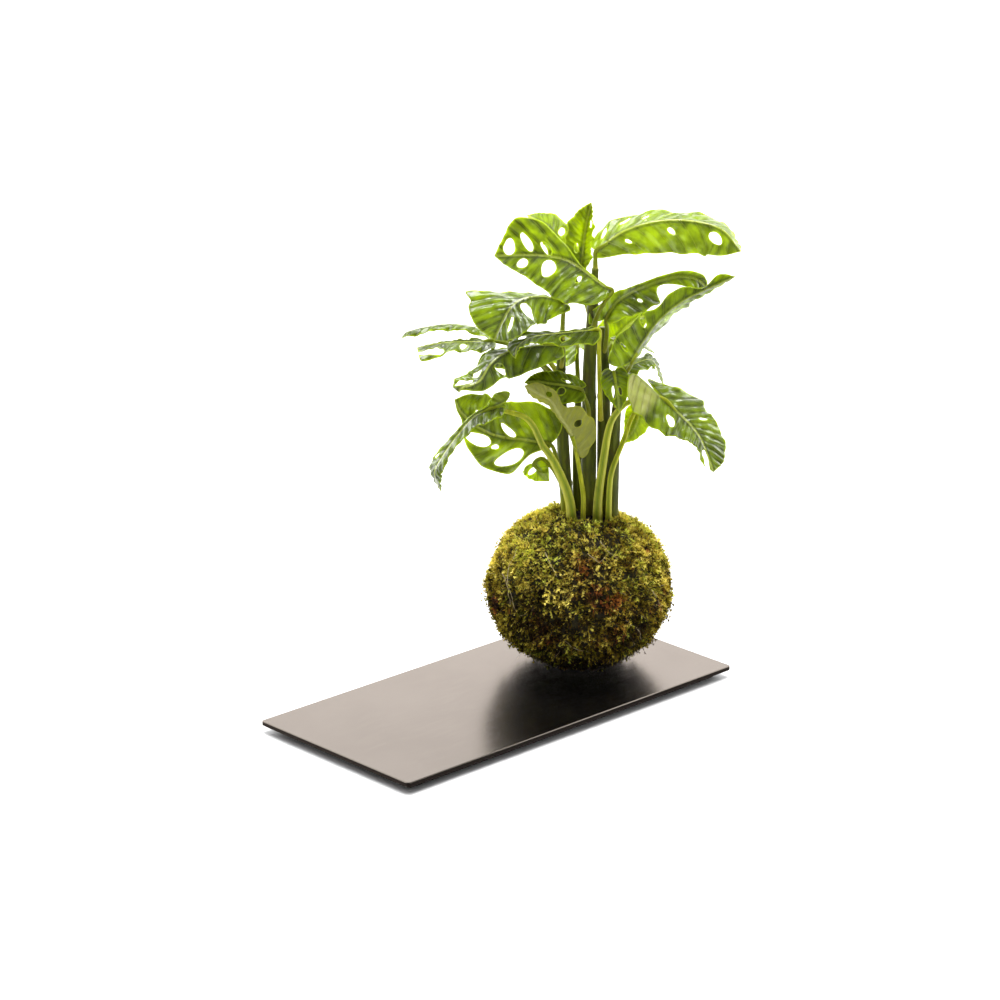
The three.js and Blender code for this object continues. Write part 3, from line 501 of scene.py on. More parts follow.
leafForm = {
    "thickness": 0.45,
    "step": 1.25,           # between mesh points
    "clear": 0.45,          # the least distance of mesh points from an edge, in steps
    "ribRows": (-1.3, -0.6, 0.6, 1.3),
    "ribClear": 1.8,
    "ribEnds": (1.2, 0.8),  # from the petiole and from the tip
    "veinGap": 0.088,       # between side veins, in leaf lengths
    "veinSlant": (65, 40),  # degrees from the midrib, at the base and at the tip
    "veinBend": 0.16,
    "quilt": 1.1,
    "wave": 1.3,
    "waveLength": 2.6,      # in side veins
    "sway": 1.1,
    "tuck": 0.9,
    "crumple": 0.32,
    "ripple": 0.018,
    "groove": (0.3, 0.7),   # depth and half width over the midrib
    "rib": (1.15, 0.3),
    "ribReach": 9,
    "petioleTop": 1.2,
    "petioleTaper": 0.6,
    "petioleFurrow": 0.16,  # depth, as a share of the radius; a sheath's is added to it
    "sheathFurrow": 0.6,
    "furrowWidth": 0.55,    # in radians round the stalk
    "sheathWidth": 0.8,
}

# A leaf is laid out flat. A point is along the midrib in hundredths of its length, then out from it in
# hundredths of that half's width. The edges leave out the points at the petiole and at the tip. A hole is
# its middle, its length and width in millimetres, and its slant in degrees, unless it follows the veins.
# left and right say which way the halves spread, at the base and at the tip, and curl bends them up.
# polish is for the two halves, and fade pales the lobe behind the petiole on the right.
# stalk is the petiole's tone and foot its first radius. sheath is the share of it that is an open
# channel, and channel is the way that this faces.
# tone is how far a leaf's colour goes to its lighter colour and how much light it lets through; the low
# tones of the leaves deep in the middle, centre_left and centre_dark, are painted shade, as is the
# leaf_shaded finish that takes away most of their sheen
evenEdge = [(-10, 30), (-8, 66), (7, 93), (27, 100), (49, 86), (70, 58), (87, 25)]
usualLeaf = {
    "look": "grown", "tone": 0.4, "polish": (0.75, 0.75), "fade": 0.0, "stalk": 0.2, "foot": 2.0,
    "sheath": 0.0, "channel": (-0.2, -0.4, 1), "curl": (0, 0), "leftEdge": evenEdge, "rightEdge": evenEdge,
    "holes": [],
}
leaves = []


def addLeaf(name, **form):
    leaves.append({**usualLeaf, "name": name, **form})


addLeaf(
    "top_right", look="fresh", tone=0.5, width=(20, 25), curl=(0, -5),
    midrib=[(10, 0, 293), (28, -3, 307), (50, -7, 315), (73, -10, 316), (93, -12, 310.5), (106, -14, 296)],
    petiole=[(9.6, -1, 279), (9.5, -0.5, 287), (10, 0, 293)],
    left=[(-0.3, 0.95, 0.15), (0, 0.99, 0.05)], right=[(0.2, -0.2, -0.96), (0, -0.3, -0.95)],
    leftEdge=[(-3, 35), (0, 65), (10, 88), (25, 98), (45, 100), (60, 97), (75, 97), (88, 85), (96, 50)],
    rightEdge=[(-3, 12), (0, 25), (10, 50), (22, 72), (38, 85), (55, 90), (70, 84), (83, 82), (93, 55)],
    holes=[(48, -30, 6, 3, 40), (80, -29, 16, 6.5, 5), (8, 50, 9, 4, 60), (21, 60, 9, 3, 50),
           (33, 50, 6, 3, 45), (46, 60, 8, 3, 40), (20, -30, 5, 2.2, 45)],
)
addLeaf(
    "top_left", tone=0.65, polish=(1, 0.15), width=(28, 29), curl=(-12, 25),
    midrib=[(21, -6, 266.8), (12.2, -9, 273.2), (1.6, -11, 282), (-10.4, -15, 290.5), (-25.6, -19, 294.6),
            (-41, -23, 296), (-58, -28, 296.8)],
    petiole=[(8, -3, 236), (9, -8, 245), (12, -11, 254), (16, -10, 261), (21, -6, 266.8)],
    left=[(0.1, -0.5, -0.85), (-0.1, -0.4, -0.9)], right=[(-0.1, 0.4, 0.9), (0.1, 0.4, 0.9)],
    leftEdge=[(3, 20), (10, 46), (20, 70), (35, 95), (48, 100), (59, 90), (68, 76), (78, 57), (88, 36),
              (95, 18)],
    rightEdge=[(10, 4), (22, 5), (34, 6), (43, 14), (53, 35), (62, 58), (71, 80), (80, 88), (88, 80),
               (94, 42)],
    holes=[(90, -20, 11, 6.5, 95), (78.5, -30, 14, 5, 61), (65, -17, 10, 4, 50), (82, 20, 7.5, 5.4, 30),
           (62.5, 30, 12, 9, 60), (34.5, 27, 6, 3.4, 60)],
)
addLeaf(
    "top_back", look="fresh", tone=0.7, polish=(0.2, 0.2), width=(13, 12.5), curl=(0, 10),
    midrib=[(-7, 22, 278), (-14, 27, 292), (-23, 33, 301), (-36, 40, 307)],
    petiole=[(8, 2, 238), (4, 14, 252), (-4, 21, 268), (-7, 22, 278)],
    left=[(-0.5, -0.6, -0.4), (-0.5, -0.6, -0.3)], right=[(0.6, 0.5, 0.3), (0.5, 0.6, 0.3)],
    rightEdge=[(-10, 30), (-5, 60), (10, 75), (30, 88), (50, 97), (70, 95), (87, 60)],
    holes=[(45, -45, 7, 4)],
)
addLeaf(
    "top_young", look="fresh", tone=0.5, polish=(0.3, 0.3), width=(13, 10), curl=(15, 15),
    midrib=[(1, 17.6, 277), (2, 18.6, 291), (4, 18.6, 306), (7, 17.6, 321.5)],
    petiole=[(8, 2, 262), (6, 9, 266), (2, 15.5, 271), (1, 17.6, 277)],
    left=[(-0.95, -0.1, 0), (-0.95, -0.3, 0.1)], right=[(0.6, -0.6, 0), (0.5, -0.8, 0)],
    leftEdge=[(-8, 40), (0, 75), (15, 88), (33, 95), (52, 100), (70, 93), (86, 62), (94, 32)],
    rightEdge=[(-5, 30), (5, 60), (20, 80), (38, 95), (55, 100), (72, 90), (86, 60), (94, 30)],
    holes=[(30, 36, 7, 2.6, 5), (72, -55, 6, 2.6, 10)],
)
addLeaf(
    "left_upper", tone=0.6, polish=(1, 1), width=(21, 37),
    midrib=[(-12, -2, 258), (-24, -6, 263), (-37, -13, 264), (-46, -19, 260), (-52, -23, 251),
            (-58, -26, 238)],
    petiole=[(-12.5, 3, 229), (-12, 1, 244), (-12, -2, 258)],
    left=[(0.1, -0.45, -0.87), (0.3, -0.6, -0.5)], right=[(-0.6, 0.75, 0), (-1, 0.3, 0.1)],
    leftEdge=[(-8, 6), (-9, 22), (0, 42), (10, 72), (22, 92), (40, 95), (60, 96), (76, 100), (88, 80),
              (96, 45)],
    rightEdge=[(-3, 5), (8, 12), (24, 19), (40, 31), (52, 46), (62, 66), (70, 95), (76, 76), (85, 68),
               (95, 42)],
    holes=[(49, 46, 14, 10, 75), (80, 33, 11, 2.8, 15)],
)
addLeaf(
    "left_far", width=(8, 18), curl=(-20, -10),
    midrib=[(-59, 12, 229), (-71, 10, 237), (-88, 8, 239.8), (-105, 6, 238.2), (-117, 5, 235),
            (-121, 4, 230.5)],
    petiole=[(-13, 5, 203), (-24, 10, 216), (-40, 13, 225), (-59, 12, 229)],
    left=[(0, -0.95, -0.08)], right=[(0, 0.95, -0.35)],
    leftEdge=[(0, 40), (4, 80), (15, 100), (32, 95), (52, 80), (74, 85), (90, 60)],
    rightEdge=[(-2, 30), (0, 66), (10, 90), (27, 100), (49, 86), (70, 58), (87, 25)],
    holes=[(40, -50, 8, 4)],
)
addLeaf(
    "left_middle", tone=0.3, width=(13, 8), curl=(-10, -10),
    midrib=[(-59, -3, 231), (-74, -5, 231), (-91, -8, 231.2), (-110, -12, 229.2)],
    petiole=[(-13, 4, 190), (-26, 4, 212), (-42, 1, 225), (-59, -3, 231)],
    left=[(0, -0.98, -0.1)], right=[(0, 0.98, 0.12), (0, 0.98, -0.18)],
    leftEdge=[(-3, 35), (2, 75), (15, 92), (35, 92), (55, 95), (72, 110), (88, 130), (102, 130)],
    rightEdge=[(-2, 30), (2, 70), (12, 95), (28, 90), (45, 60), (62, 45), (80, 35), (92, 20)],
    holes=[(45, 50, 7, 4, 40), (88, 83, 17, 6.4, 0)],
)
addLeaf(
    "left_front", polish=(1, 1), width=(22, 13),
    midrib=[(-13, -4, 229), (-32, -14, 231), (-49, -24, 230), (-60, -31, 224), (-68, -36, 213),
            (-79.5, -38, 208.8), (-81.5, -38.3, 205.5)],
    petiole=[(-13, 3, 211), (-12, 0, 219), (-12, -3, 226), (-13, -4, 229)],
    left=[(0.1, -0.4, -0.85), (0.1, -0.5, -0.8)], right=[(-0.1, 0.95, -0.25), (-0.7, 0.6, 0.35)],
    leftEdge=[(-1, 20), (0, 40), (8, 58), (24, 78), (44, 78), (64, 40), (78, 14), (88, 6)],
    rightEdge=[(-2, 30), (0, 60), (12, 88), (30, 100), (48, 100), (66, 95), (80, 85), (90, 50)],
    holes=[(49, 36, 10, 7, 70), (64, -42, 11, 4, 10), (80, -30, 15, 3.6, 5)],
)
addLeaf(
    "centre_left", look="shaded", tone=0.2, polish=(0.1, 0.3), stalk=0.8, width=(16, 13),
    midrib=[(12, -18, 243), (0, -20, 243), (-17, -23, 242), (-32, -27, 241), (-42, -32, 236),
            (-44, -35, 228)],
    petiole=[(14, 2, 174), (13.5, -6, 188), (12.5, -11, 210), (12, -15, 230), (12, -18, 243)],
    left=[(0.2, -0.9, -0.3), (0.3, -0.9, 0.1)], right=[(0, 0.98, 0.06), (-0.6, 0.8, 0.1)],
    leftEdge=[(0, 30), (2, 62), (10, 90), (27, 100), (45, 95), (62, 75), (77, 50), (90, 25)],
    rightEdge=[(0, 20), (3, 35), (12, 35), (25, 25), (42, 35), (57, 75), (72, 100), (87, 75)],
    holes=[(35, 50, 7, 4, 50), (68, -50, 6, 3, 40)],
)
addLeaf(
    "back_left", look="fresh", tone=0.6, width=(20, 20),
    midrib=[(-2, 16, 222), (-8, 32, 224), (-15, 50, 220), (-24, 68, 206)],
    petiole=[(-1, 10, 186), (-1.5, 12, 202), (-2, 14, 213), (-2, 16, 222)],
    left=[(-0.5, -0.1, -0.85), (-0.8, -0.2, -0.5)], right=[(0.8, 0.2, -0.4), (0.8, 0.2, -0.5)],
    holes=[(40, 50, 9, 5), (40, -50, 9, 5)],
)
addLeaf(
    "right_upper", width=(12, 15),
    midrib=[(17, -2, 246), (23.8, -2, 257.5), (33.7, -2, 264.3), (42.3, -1, 268), (53.6, 1, 271.7),
            (65.6, 3, 273.9), (77, 5, 271.9), (85, 6, 265.4)],
    petiole=[(15, 6, 216), (17, 2, 228), (17.5, -1, 238), (17, -2, 247)],
    left=[(-0.75, -0.2, 0.55), (-0.1, 0.5, 0.85)], right=[(0.3, -0.5, -0.8), (0, -0.5, -0.85)],
    leftEdge=[(-5, 35), (-10, 75), (-1, 100), (11, 68), (25, 38), (40, 28), (55, 28), (68, 30), (82, 40),
              (94, 40)],
    rightEdge=[(-2, 20), (5, 60), (15, 90), (28, 100), (42, 100), (50, 96), (51, 40), (57, 20), (74, 42),
               (90, 42)],
    holes=[(33, -50, 5, 2.4, 30)],
)
addLeaf(
    "right_front", tone=0.5, width=(18, 21),
    midrib=[(34, -22, 222), (41, -22, 235), (52, -20, 250), (67, -17, 262), (82, -14, 269),
            (103, -11, 278)],
    petiole=[(26, -4, 198), (29, -9, 208), (33, -16, 217), (34, -22, 222)],
    left=[(-0.7, 0.35, 0.6), (-0.3, 0.5, 0.7)], right=[(0.3, 0.85, -0.3), (0.2, 0.85, -0.4)],
    leftEdge=[(-8, 30), (-10, 80), (0, 95), (12, 100), (24, 80), (36, 68), (45, 42), (55, 52), (66, 50),
              (80, 15), (92, 35)],
    rightEdge=[(2, 10), (8, 30), (16, 50), (26, 75), (34, 115), (40, 150), (46, 120), (53, 135), (60, 130),
               (68, 80), (85, 40)],
    holes=[(8, 55, 7.5, 3, 70), (33, 48, 9, 3.2, 60)],
)
addLeaf(
    "right_small", tone=0.5, width=(7, 9),
    midrib=[(24, 15, 226), (38, 18, 225), (52, 20, 215)],
    petiole=[(16, 7, 203), (18, 12, 215), (24, 15, 226)],
    left=[(0, 0.95, 0)], right=[(0, -0.9, -0.3)],
)
addLeaf(
    "right_curled", tone=0.3, width=(11, 11),
    midrib=[(29, 2, 209), (39, 4, 214), (48, 6, 215), (53, 7, 207), (57, 8, 195)],
    petiole=[(25.5, -3, 193), (27, 1, 202), (29, 2, 209)],
    left=[(-0.1, 0.95, 0.1), (0.3, 0.9, 0.2)], right=[(0.1, -0.9, -0.3), (-0.3, -0.9, 0)],
    holes=[(66, -40, 8, 4.5, 20)],
)
addLeaf(
    "right_arching", polish=(1, 0.3), fade=0.85, stalk=1, foot=4, sheath=0.5, channel=(-0.3, -1, 0.3),
    width=(23, 20),
    midrib=[(55.7, -24, 196.5), (66.6, -28, 186.7), (73.7, -32, 180.5), (79.8, -35, 172.5),
            (84.1, -38, 163), (88.6, -42, 151)],
    petiole=[(12.3, -8, 92), (12.5, -8, 120), (16, -10, 150), (19, -12, 171), (23, -14, 182),
             (31, -17, 191.5), (43, -21, 196.5), (55.7, -24, 196.5)],
    left=[(0.5, 0.75, 0.3), (0.75, 0.6, 0)], right=[(-0.6, -0.6, -0.35), (-0.5, -0.8, -0.2)],
    leftEdge=[(-27, 8), (-24, 25), (-13, 42), (4, 76), (14, 92), (22, 100), (31, 88), (48, 85), (65, 84),
              (82, 76), (94, 48)],
    rightEdge=[(-36, 3), (-46, 20), (-42, 55), (-29, 100), (-10, 113), (10, 107), (27, 97), (42, 75),
               (58, 48), (74, 35), (88, 42)],
    holes=[(18, -45, 9, 5, 28), (87, -17, 15, 5, 12), (42, 50, 7, 2.6, 50)],
)
addLeaf(
    "centre_hanging", tone=0.5, polish=(0.3, 0.3), width=(10, 10),
    midrib=[(22, -16.5, 213.2), (23.5, -22, 206), (25, -24, 197), (26, -24, 187)],
    petiole=[(24, -4, 184), (24.5, -10, 197), (22, -13.5, 208), (22, -16.5, 213.2)],
    left=[(0.9, 0, 0), (0.9, 0.2, 0)], right=[(-0.9, 0, 0), (-0.9, 0.2, 0)],
    holes=[(50, -24, 9, 2.4, 5), (50, 20, 6, 2.4, 5)],
)
addLeaf(
    "left_arching", fade=0.45, stalk=0.9, foot=4.2, sheath=0.5, channel=(0.4, -1, 0.4), width=(11, 14),
    midrib=[(-59, -30, 192), (-72, -34, 187), (-83, -38, 175), (-93, -40, 161), (-98, -41, 150),
            (-94, -41, 137)],
    petiole=[(-5.5, -9.5, 92), (-6.5, -10.5, 118), (-13, -14, 139), (-20.5, -18, 155), (-25.8, -20, 163),
             (-31.5, -23, 176.5), (-38, -25.5, 184.5), (-50, -28.5, 189.5), (-59, -30, 192)],
    left=[(0.5, -0.75, -0.2), (0.6, -0.75, 0)], right=[(-0.1, 0.6, 0.7), (-0.4, 0.9, 0.1)],
    leftEdge=[(-10, 30), (-6, 75), (5, 100), (18, 90), (32, 75), (45, 60), (58, 62), (70, 78), (82, 70),
              (93, 38)],
    rightEdge=[(-14, 6), (-20, 30), (-19, 50), (-10, 65), (-2, 50), (7, 22), (28, 18), (50, 36), (70, 60),
               (88, 62)],
    holes=[(62, -35, 5, 2, 20)],
)
addLeaf(
    "left_lower", look="fresh", tone=0.3, width=(23, 26), curl=(10, 0),
    midrib=[(-20, -10, 160), (-37, -12, 164), (-54, -14, 167), (-68, -14, 173), (-80, -12, 183),
            (-85, -10, 192)],
    petiole=[(-10, -3, 92), (-12, -5, 130), (-16, -8, 150), (-20, -10, 160)],
    left=[(0, -0.3, -0.95), (-0.5, -0.2, -0.8)], right=[(-0.05, 0.25, 0.95), (0.1, 0.2, 0.9)],
    leftEdge=[(0, 12), (6, 22), (14, 40), (22, 78), (30, 103), (40, 104), (50, 90), (60, 68), (68, 40),
              (76, 14), (88, 6)],
    rightEdge=[(-6, 30), (-6, 70), (8, 95), (20, 100), (33, 95), (45, 92), (57, 87), (69, 83), (80, 80),
               (90, 72), (98, 42)],
    holes=[(56.5, 31, 16, 8, 12), (30, 57, 18, 8.5, 40), (42, 33, 4.5, 3, 30), (35, -20, 13, 4.2, 35),
           (67, -27, 8, 5, 20)],
)
addLeaf(
    "lower_small", tone=0.7, width=(9, 10),
    midrib=[(-31, 4, 142), (-27, 4, 136), (-20.5, 4, 129)],
    petiole=[(-9, 6, 120), (-17, 6, 136), (-25, 5, 145), (-31, 4, 142)],
    left=[(0.7, 0.1, 0.7)], right=[(-0.7, 0, -0.7)],
    holes=[(28, -40, 7, 4, 80)],
)
addLeaf(
    "centre_pale", look="pale", tone=0.5, polish=(0.15, 0.15), stalk=0.9, width=(18, 10),
    midrib=[(-3.4, -20, 160.8), (-5.8, -22, 170.5), (-8.9, -24, 177), (-12.9, -26, 183.4),
            (-16.1, -28, 189.9), (-20.6, -30, 197.6), (-26.6, -32, 201.7), (-38, -33, 209)],
    petiole=[(2, -9, 92), (2.5, -9.5, 120), (1, -12, 134), (-1, -16, 147), (-3.4, -20, 160.8)],
    left=[(0.9, 0.15, 0.4), (0.5, 0.3, 0.7)], right=[(-0.6, 0.5, -0.4)],
    leftEdge=[(-13, 10), (-12, 35), (0, 72), (10, 93), (18, 100), (24, 87), (36, 88), (47, 68), (57, 30),
              (76, 40), (92, 36)],
    rightEdge=[(-2, 10), (3, 18), (10, 22), (20, 25), (30, 26), (40, 28), (50, 32), (60, 42), (70, 55),
               (83, 70), (93, 50)],
    holes=[(24, 42, 6.5, 5.5, 60), (78, 16, 6, 3.6, 5)],
)
addLeaf(
    "centre_dark", look="shaded", tone=0.3, polish=(0.25, 0.25), width=(13, 14),
    midrib=[(0, -12, 200), (-10, -14, 203), (-20, -16, 205), (-29, -18, 207), (-38, -20, 207)],
    petiole=[(6, -1, 173), (5, -7, 186), (2, -11, 195), (0, -12, 200)],
    left=[(0, -0.5, -0.85)], right=[(0, 0.75, 0.6)],
    leftEdge=[(-10, 30), (-8, 60), (7, 80), (27, 95), (49, 86), (70, 58), (87, 25)],
    rightEdge=[(-10, 25), (-5, 50), (7, 68), (25, 80), (45, 78), (65, 62), (84, 35)],
    holes=[(24, -28, 6, 2.6, 10), (32, 35, 6, 4.4, 45)],
)
addLeaf(
    "back_right", look="fresh", tone=0.5, width=(15, 15),
    midrib=[(20, 31, 217), (28, 36, 225), (37, 41, 232), (51, 47, 237)],
    petiole=[(16, 8, 188), (18, 18, 203), (20, 27, 212), (20, 31, 217)],
    left=[(-0.6, 0.3, 0.7)], right=[(0.6, -0.3, -0.5)],
    holes=[(40, -40, 8, 4)],
)
addLeaf(
    "right_lower", look="fresh", tone=0.6, stalk=1, foot=2.4, sheath=0.35, channel=(-0.3, -1, 0.3),
    width=(9, 10.5),
    midrib=[(40, 6, 180), (39, 10, 171), (35, 12, 161), (27, 12, 153)],
    petiole=[(19.5, -9.5, 92), (19.8, -9.5, 120), (21, -9.5, 138), (25.5, -8, 152), (30, -4, 162),
             (34, -1, 174), (39, 4, 181), (40, 6, 180)],
    left=[(-0.95, 0.1, 0.2)], right=[(0.95, 0.1, -0.2)],
)
addLeaf(
    "left_inner", width=(11, 4),
    midrib=[(-40, -8, 224), (-54, -11, 225), (-64, -13, 223), (-70, -15, 217)],
    petiole=[(-13.5, 4, 198), (-20, -2, 209), (-29, -6, 218), (-40, -8, 224)],
    left=[(0, -0.3, -0.95)], right=[(0, 0.7, 0.7)],
    holes=[(50, 40, 5, 3)],
)


def veinCount(x, y, length):
    # which side vein a spot lies on, as a whole number on the vein itself
    start = x.copy()
    for _ in range(4):
        slant = np.radians(np.interp(start / length, [0, 1], leafForm["veinSlant"]))
        start = x - np.abs(y) / np.tan(slant) - leafForm["veinBend"] * np.abs(y) ** 1.5 / 10
    return start / (leafForm["veinGap"] * length)


def leafSurface(leaf, x, y, length):
    # point and upward normal of spots on the plain leaf: x along the midrib, y across it, left positive
    place = np.clip(x / length, 0, 1)
    point, way = curveAt(leaf["midrib"], place)
    point = point + way * (x - place * length)[:, None]
    spreads = []
    for half in ("left", "right"):
        base, tip = np.array(leaf[half][0], float), np.array(leaf[half][-1], float)
        spread = base + (tip - base) * place[:, None]
        spreads.append(unit(spread - way * (spread * way).sum(1, keepdims=True)))
    isLeft = (y >= 0)[:, None]
    spread = np.where(isLeft, spreads[0], spreads[1])
    up = np.where(isLeft, np.cross(way, spreads[0]), np.cross(spreads[1], way))
    width = np.where(y >= 0, *leaf["width"])
    curl = np.radians(np.where(y >= 0, *leaf["curl"])) + 1e-4
    turned = curl * np.abs(y) / width
    point = point + spread * (np.sin(turned) * width / curl)[:, None]
    point = point + up * ((1 - np.cos(turned)) * width / curl)[:, None]
    return point, up * np.cos(turned)[:, None] - spread * np.sin(turned)[:, None]


def leafRelief(leaf, x, y, length, seed):
    # height over the plain leaf: quilted between the veins, and waved towards the edge
    width = np.where(y >= 0, *leaf["width"])
    away = np.abs(y)
    share = away / width
    veins = veinCount(x, y, length)
    turn = np.where(y >= 0, seed, seed * 1.7 + 1)
    calm = 1 - 0.6 * np.minimum(share, 1) ** 5
    quilt = leafForm["quilt"] * (np.sin(math.pi * veins) ** 2 - 0.45) * eased(away, 0.5, 5.0) * calm
    wave = np.sin(2 * math.pi * veins / leafForm["waveLength"] + turn)
    wave = leafForm["wave"] * share**2 * wave * eased(length - x, 0, 14)
    sway = leafForm["sway"] * share * np.sin(x / 15 + turn * 2)
    tuck = leafForm["tuck"] * share**4
    folds = np.sin(0.52 * x + 0.33 * y + turn) + np.sin(0.27 * x - 0.61 * y + 2 * turn)
    folds = folds * (0.6 + 0.4 * np.sin(0.16 * x + 0.21 * y + 3 * turn))
    crumple = leafForm["crumple"] * folds * eased(away, 1.0, 6.0) * calm
    return quilt + wave + sway - tuck + crumple, veins


def halfOutline(leaf, half, length, seed):
    edge = [(0, 0), *leaf[("leftEdge", "rightEdge")[half]], (100, 0)]
    spots = [(x / 100 * length, y / 100 * leaf["width"][half]) for x, y in edge]
    count = max(6 * len(spots), int(length / 1.3))
    ring, _ = curveAt(spots, np.linspace(0, 1, count))
    phase = ring[:, 0] / length * 34 + seed * (half + 1)
    ripple = leafForm["ripple"] * np.sin(phase) * eased(ring[:, 1], 1, 6)
    ring[:, 1] = np.maximum(ring[:, 1] * (1 + ripple), 0)
    if half:
        ring[:, 1] *= -1
    return ring


def holeRing(leaf, hole, length):
    along, across, size, width, *given = hole
    side = math.copysign(1, across)
    half = leaf["width"][0 if side > 0 else 1]
    slant = given[0] if given else np.interp(along / 100, [0, 1], leafForm["veinSlant"])
    slant = math.radians(slant) * side
    angle = np.linspace(0, 2 * math.pi, max(12, int(size * 2.2)), endpoint=False)
    a = size / 2 * np.cos(angle)
    b = width / 2 * np.sin(angle) * (1 - 0.2 * np.cos(angle))
    x = along / 100 * length + a * math.cos(slant) - b * math.sin(slant)
    y = across / 100 * half + a * math.sin(slant) + b * math.cos(slant)
    return np.column_stack([x, y])


def inside(spots, ring):
    x, y = spots[:, 0][:, None], spots[:, 1][:, None]
    x0, y0 = ring[:, 0], ring[:, 1]
    x1, y1 = np.roll(x0, -1), np.roll(y0, -1)
    crossing = (y0 > y) != (y1 > y)
    reach = x0 + (y - y0) * (x1 - x0) / np.where(y1 == y0, 1e-9, y1 - y0)
    return (crossing & (x < reach)).sum(1) % 2 == 1


def toRing(spots, ring):
    # distance from each spot to the nearest side of a ring
    a = ring[None, :, :]
    b = np.roll(ring, -1, axis=0)[None, :, :]
    p = spots[:, None, :]
    side = b - a
    t = np.clip(((p - a) * side).sum(2) / np.maximum((side**2).sum(2), 1e-9), 0, 1)
    return np.linalg.norm(p - a - side * t[:, :, None], axis=2).min(1)


def rowOf(x, y):
    return np.column_stack([x, np.full(len(x), y)])


def leafSheet(leaf, length, seed):
    # flat mesh of the leaf: its outline, holes and midrib are edges of it
    left = halfOutline(leaf, 0, length, seed)
    right = halfOutline(leaf, 1, length, seed)
    outer = np.vstack([left, right[-2:0:-1]])
    holes = [holeRing(leaf, hole, length) for hole in leaf["holes"]]
    step = leafForm["step"]
    rib = np.arange(leafForm["ribEnds"][0], length - leafForm["ribEnds"][1], step)
    low, high = outer.min(0), outer.max(0)
    grid = []
    for row, y in enumerate(np.arange(low[1], high[1], step * 0.87)):
        x = np.arange(low[0] + (row % 2) * step / 2, high[0], step)
        grid.append(rowOf(x, y))
    grid = np.vstack(grid)
    grid = grid[np.abs(grid[:, 1]) > leafForm["ribClear"]]
    grid = np.vstack([grid, *(rowOf(rib, y) for y in leafForm["ribRows"])])
    clear = step * leafForm["clear"]
    keep = inside(grid, outer) & (toRing(grid, outer) > clear)
    for ring in holes:
        keep &= ~inside(grid, ring) & (toRing(grid, ring) > clear)
    # the midrib runs from the outline's first point to its tip
    first = len(outer)
    line = [0, *range(first, first + len(rib)), len(left) - 1]
    edges = [(k, (k + 1) % first) for k in range(first)] + list(zip(line[:-1], line[1:]))
    count = first + len(rib)
    for ring in holes:
        edges += [(count + k, count + (k + 1) % len(ring)) for k in range(len(ring))]
        count += len(ring)
    spots = np.vstack([outer, rowOf(rib, 0.0), *holes, grid[keep]])
    found, _, faces, _, _, _ = delaunay_2d_cdt([Vector(p) for p in spots], edges, [], 0, 1e-4)
    spots = np.array([tuple(p) for p in found])
    faces = np.array(faces)
    middle = spots[faces].mean(1)
    keep = inside(middle, outer)
    for ring in holes:
        keep &= ~inside(middle, ring)
    faces = faces[keep]
    used = np.unique(faces)
    renumber = np.full(len(spots), -1)
    renumber[used] = np.arange(len(used))
    return spots[used], renumber[faces], [outer] + holes


def leafPiece(leaf, seed):
    length = curveLength(leaf["midrib"])
    spots, faces, rings = leafSheet(leaf, length, seed)
    x, y = spots[:, 0], spots[:, 1]
    point, up = leafSurface(leaf, x, y, length)
    height, veins = leafRelief(leaf, x, y, length, seed)
    point = point + up * height[:, None]
    corner = point[faces]
    normals = np.cross(corner[:, 1] - corner[:, 0], corner[:, 2] - corner[:, 0])
    normal = np.zeros_like(point)
    for k in range(3):
        np.add.at(normal, faces[:, k], normals)
    normal = unit(normal)
    ribSize = np.interp(x / length, [0, 1], leafForm["rib"])
    rib = np.sqrt(np.maximum(ribSize**2 - y**2, 0))
    grooveDepth, grooveWidth = leafForm["groove"]
    groove = grooveDepth * np.exp(-((y / grooveWidth) ** 2))
    half = leafForm["thickness"] / 2
    upper = point + normal * (half - groove)[:, None]
    lower = point - normal * (half + rib)[:, None]
    fade = leaf["fade"] * (1 - eased(x, -0.12 * length, 0.02 * length)) * eased(-y, 0.3, 3)
    count = len(point)
    values = {
        "across": y, "along": x / length, "veins": veins + 40, "fade": fade,
        "rim": np.min([toRing(spots, ring) for ring in rings], axis=0),
        "tone": np.full(count, leaf["tone"]),
        "polish": np.where(y >= 0, *leaf["polish"]) * (1 - 0.8 * fade),
    }
    values = {name: np.tile(value, 2) for name, value in values.items()}
    skin = Skin()
    sheets = faces.tolist() + (faces[:, ::-1] + count).tolist()
    skin.add(np.vstack([upper, lower]), sheets, under=np.repeat([0.0, 1.0], count), **values)
    # walls join the two sheets along every edge that only one face has
    ways = np.vstack([faces[:, [0, 1]], faces[:, [1, 2]], faces[:, [2, 0]]])
    _, first, uses = np.unique(np.sort(ways, axis=1), axis=0, return_index=True, return_counts=True)
    rims = ways[first[uses == 1]].tolist()
    skin.addFaces([[b, a, a + count, b + count] for a, b in rims], flat=True)
    ribEnd, ribUp = leafSurface(leaf, np.array([leafForm["ribReach"]], float), np.zeros(1), length)
    stalk = leaf["petiole"] + [tuple(ribEnd[0] - ribUp[0])]
    foot, top, sheath = leaf["foot"], leafForm["petioleTop"], leaf["sheath"]

    def radius(t):
        return foot + (top - foot) * t ** leafForm["petioleTaper"]

    def furrow(t):
        opened = sheath * (1 - eased(t, sheath, sheath + 0.3))
        return leafForm["petioleFurrow"] + leafForm["sheathFurrow"] * opened

    tube(
        skin, stalk, radius, 20, 12 + 6 * len(stalk), slot=1, furrow=furrow, furrowWay=leaf["channel"],
        furrowWidth=leafForm["sheathWidth" if sheath else "furrowWidth"], tone=leaf["stalk"],
    )
    used = ("tone", "polish", "across", "along", "veins", "under", "rim", "furrow", "border", "fade")
    materials = [bladeFinishes[leaf["look"]], petioleLook]
    return skin.piece(leaf["name"] + "_leaf", materials, used, ["leaf_" + leaf["name"]], "leaf")


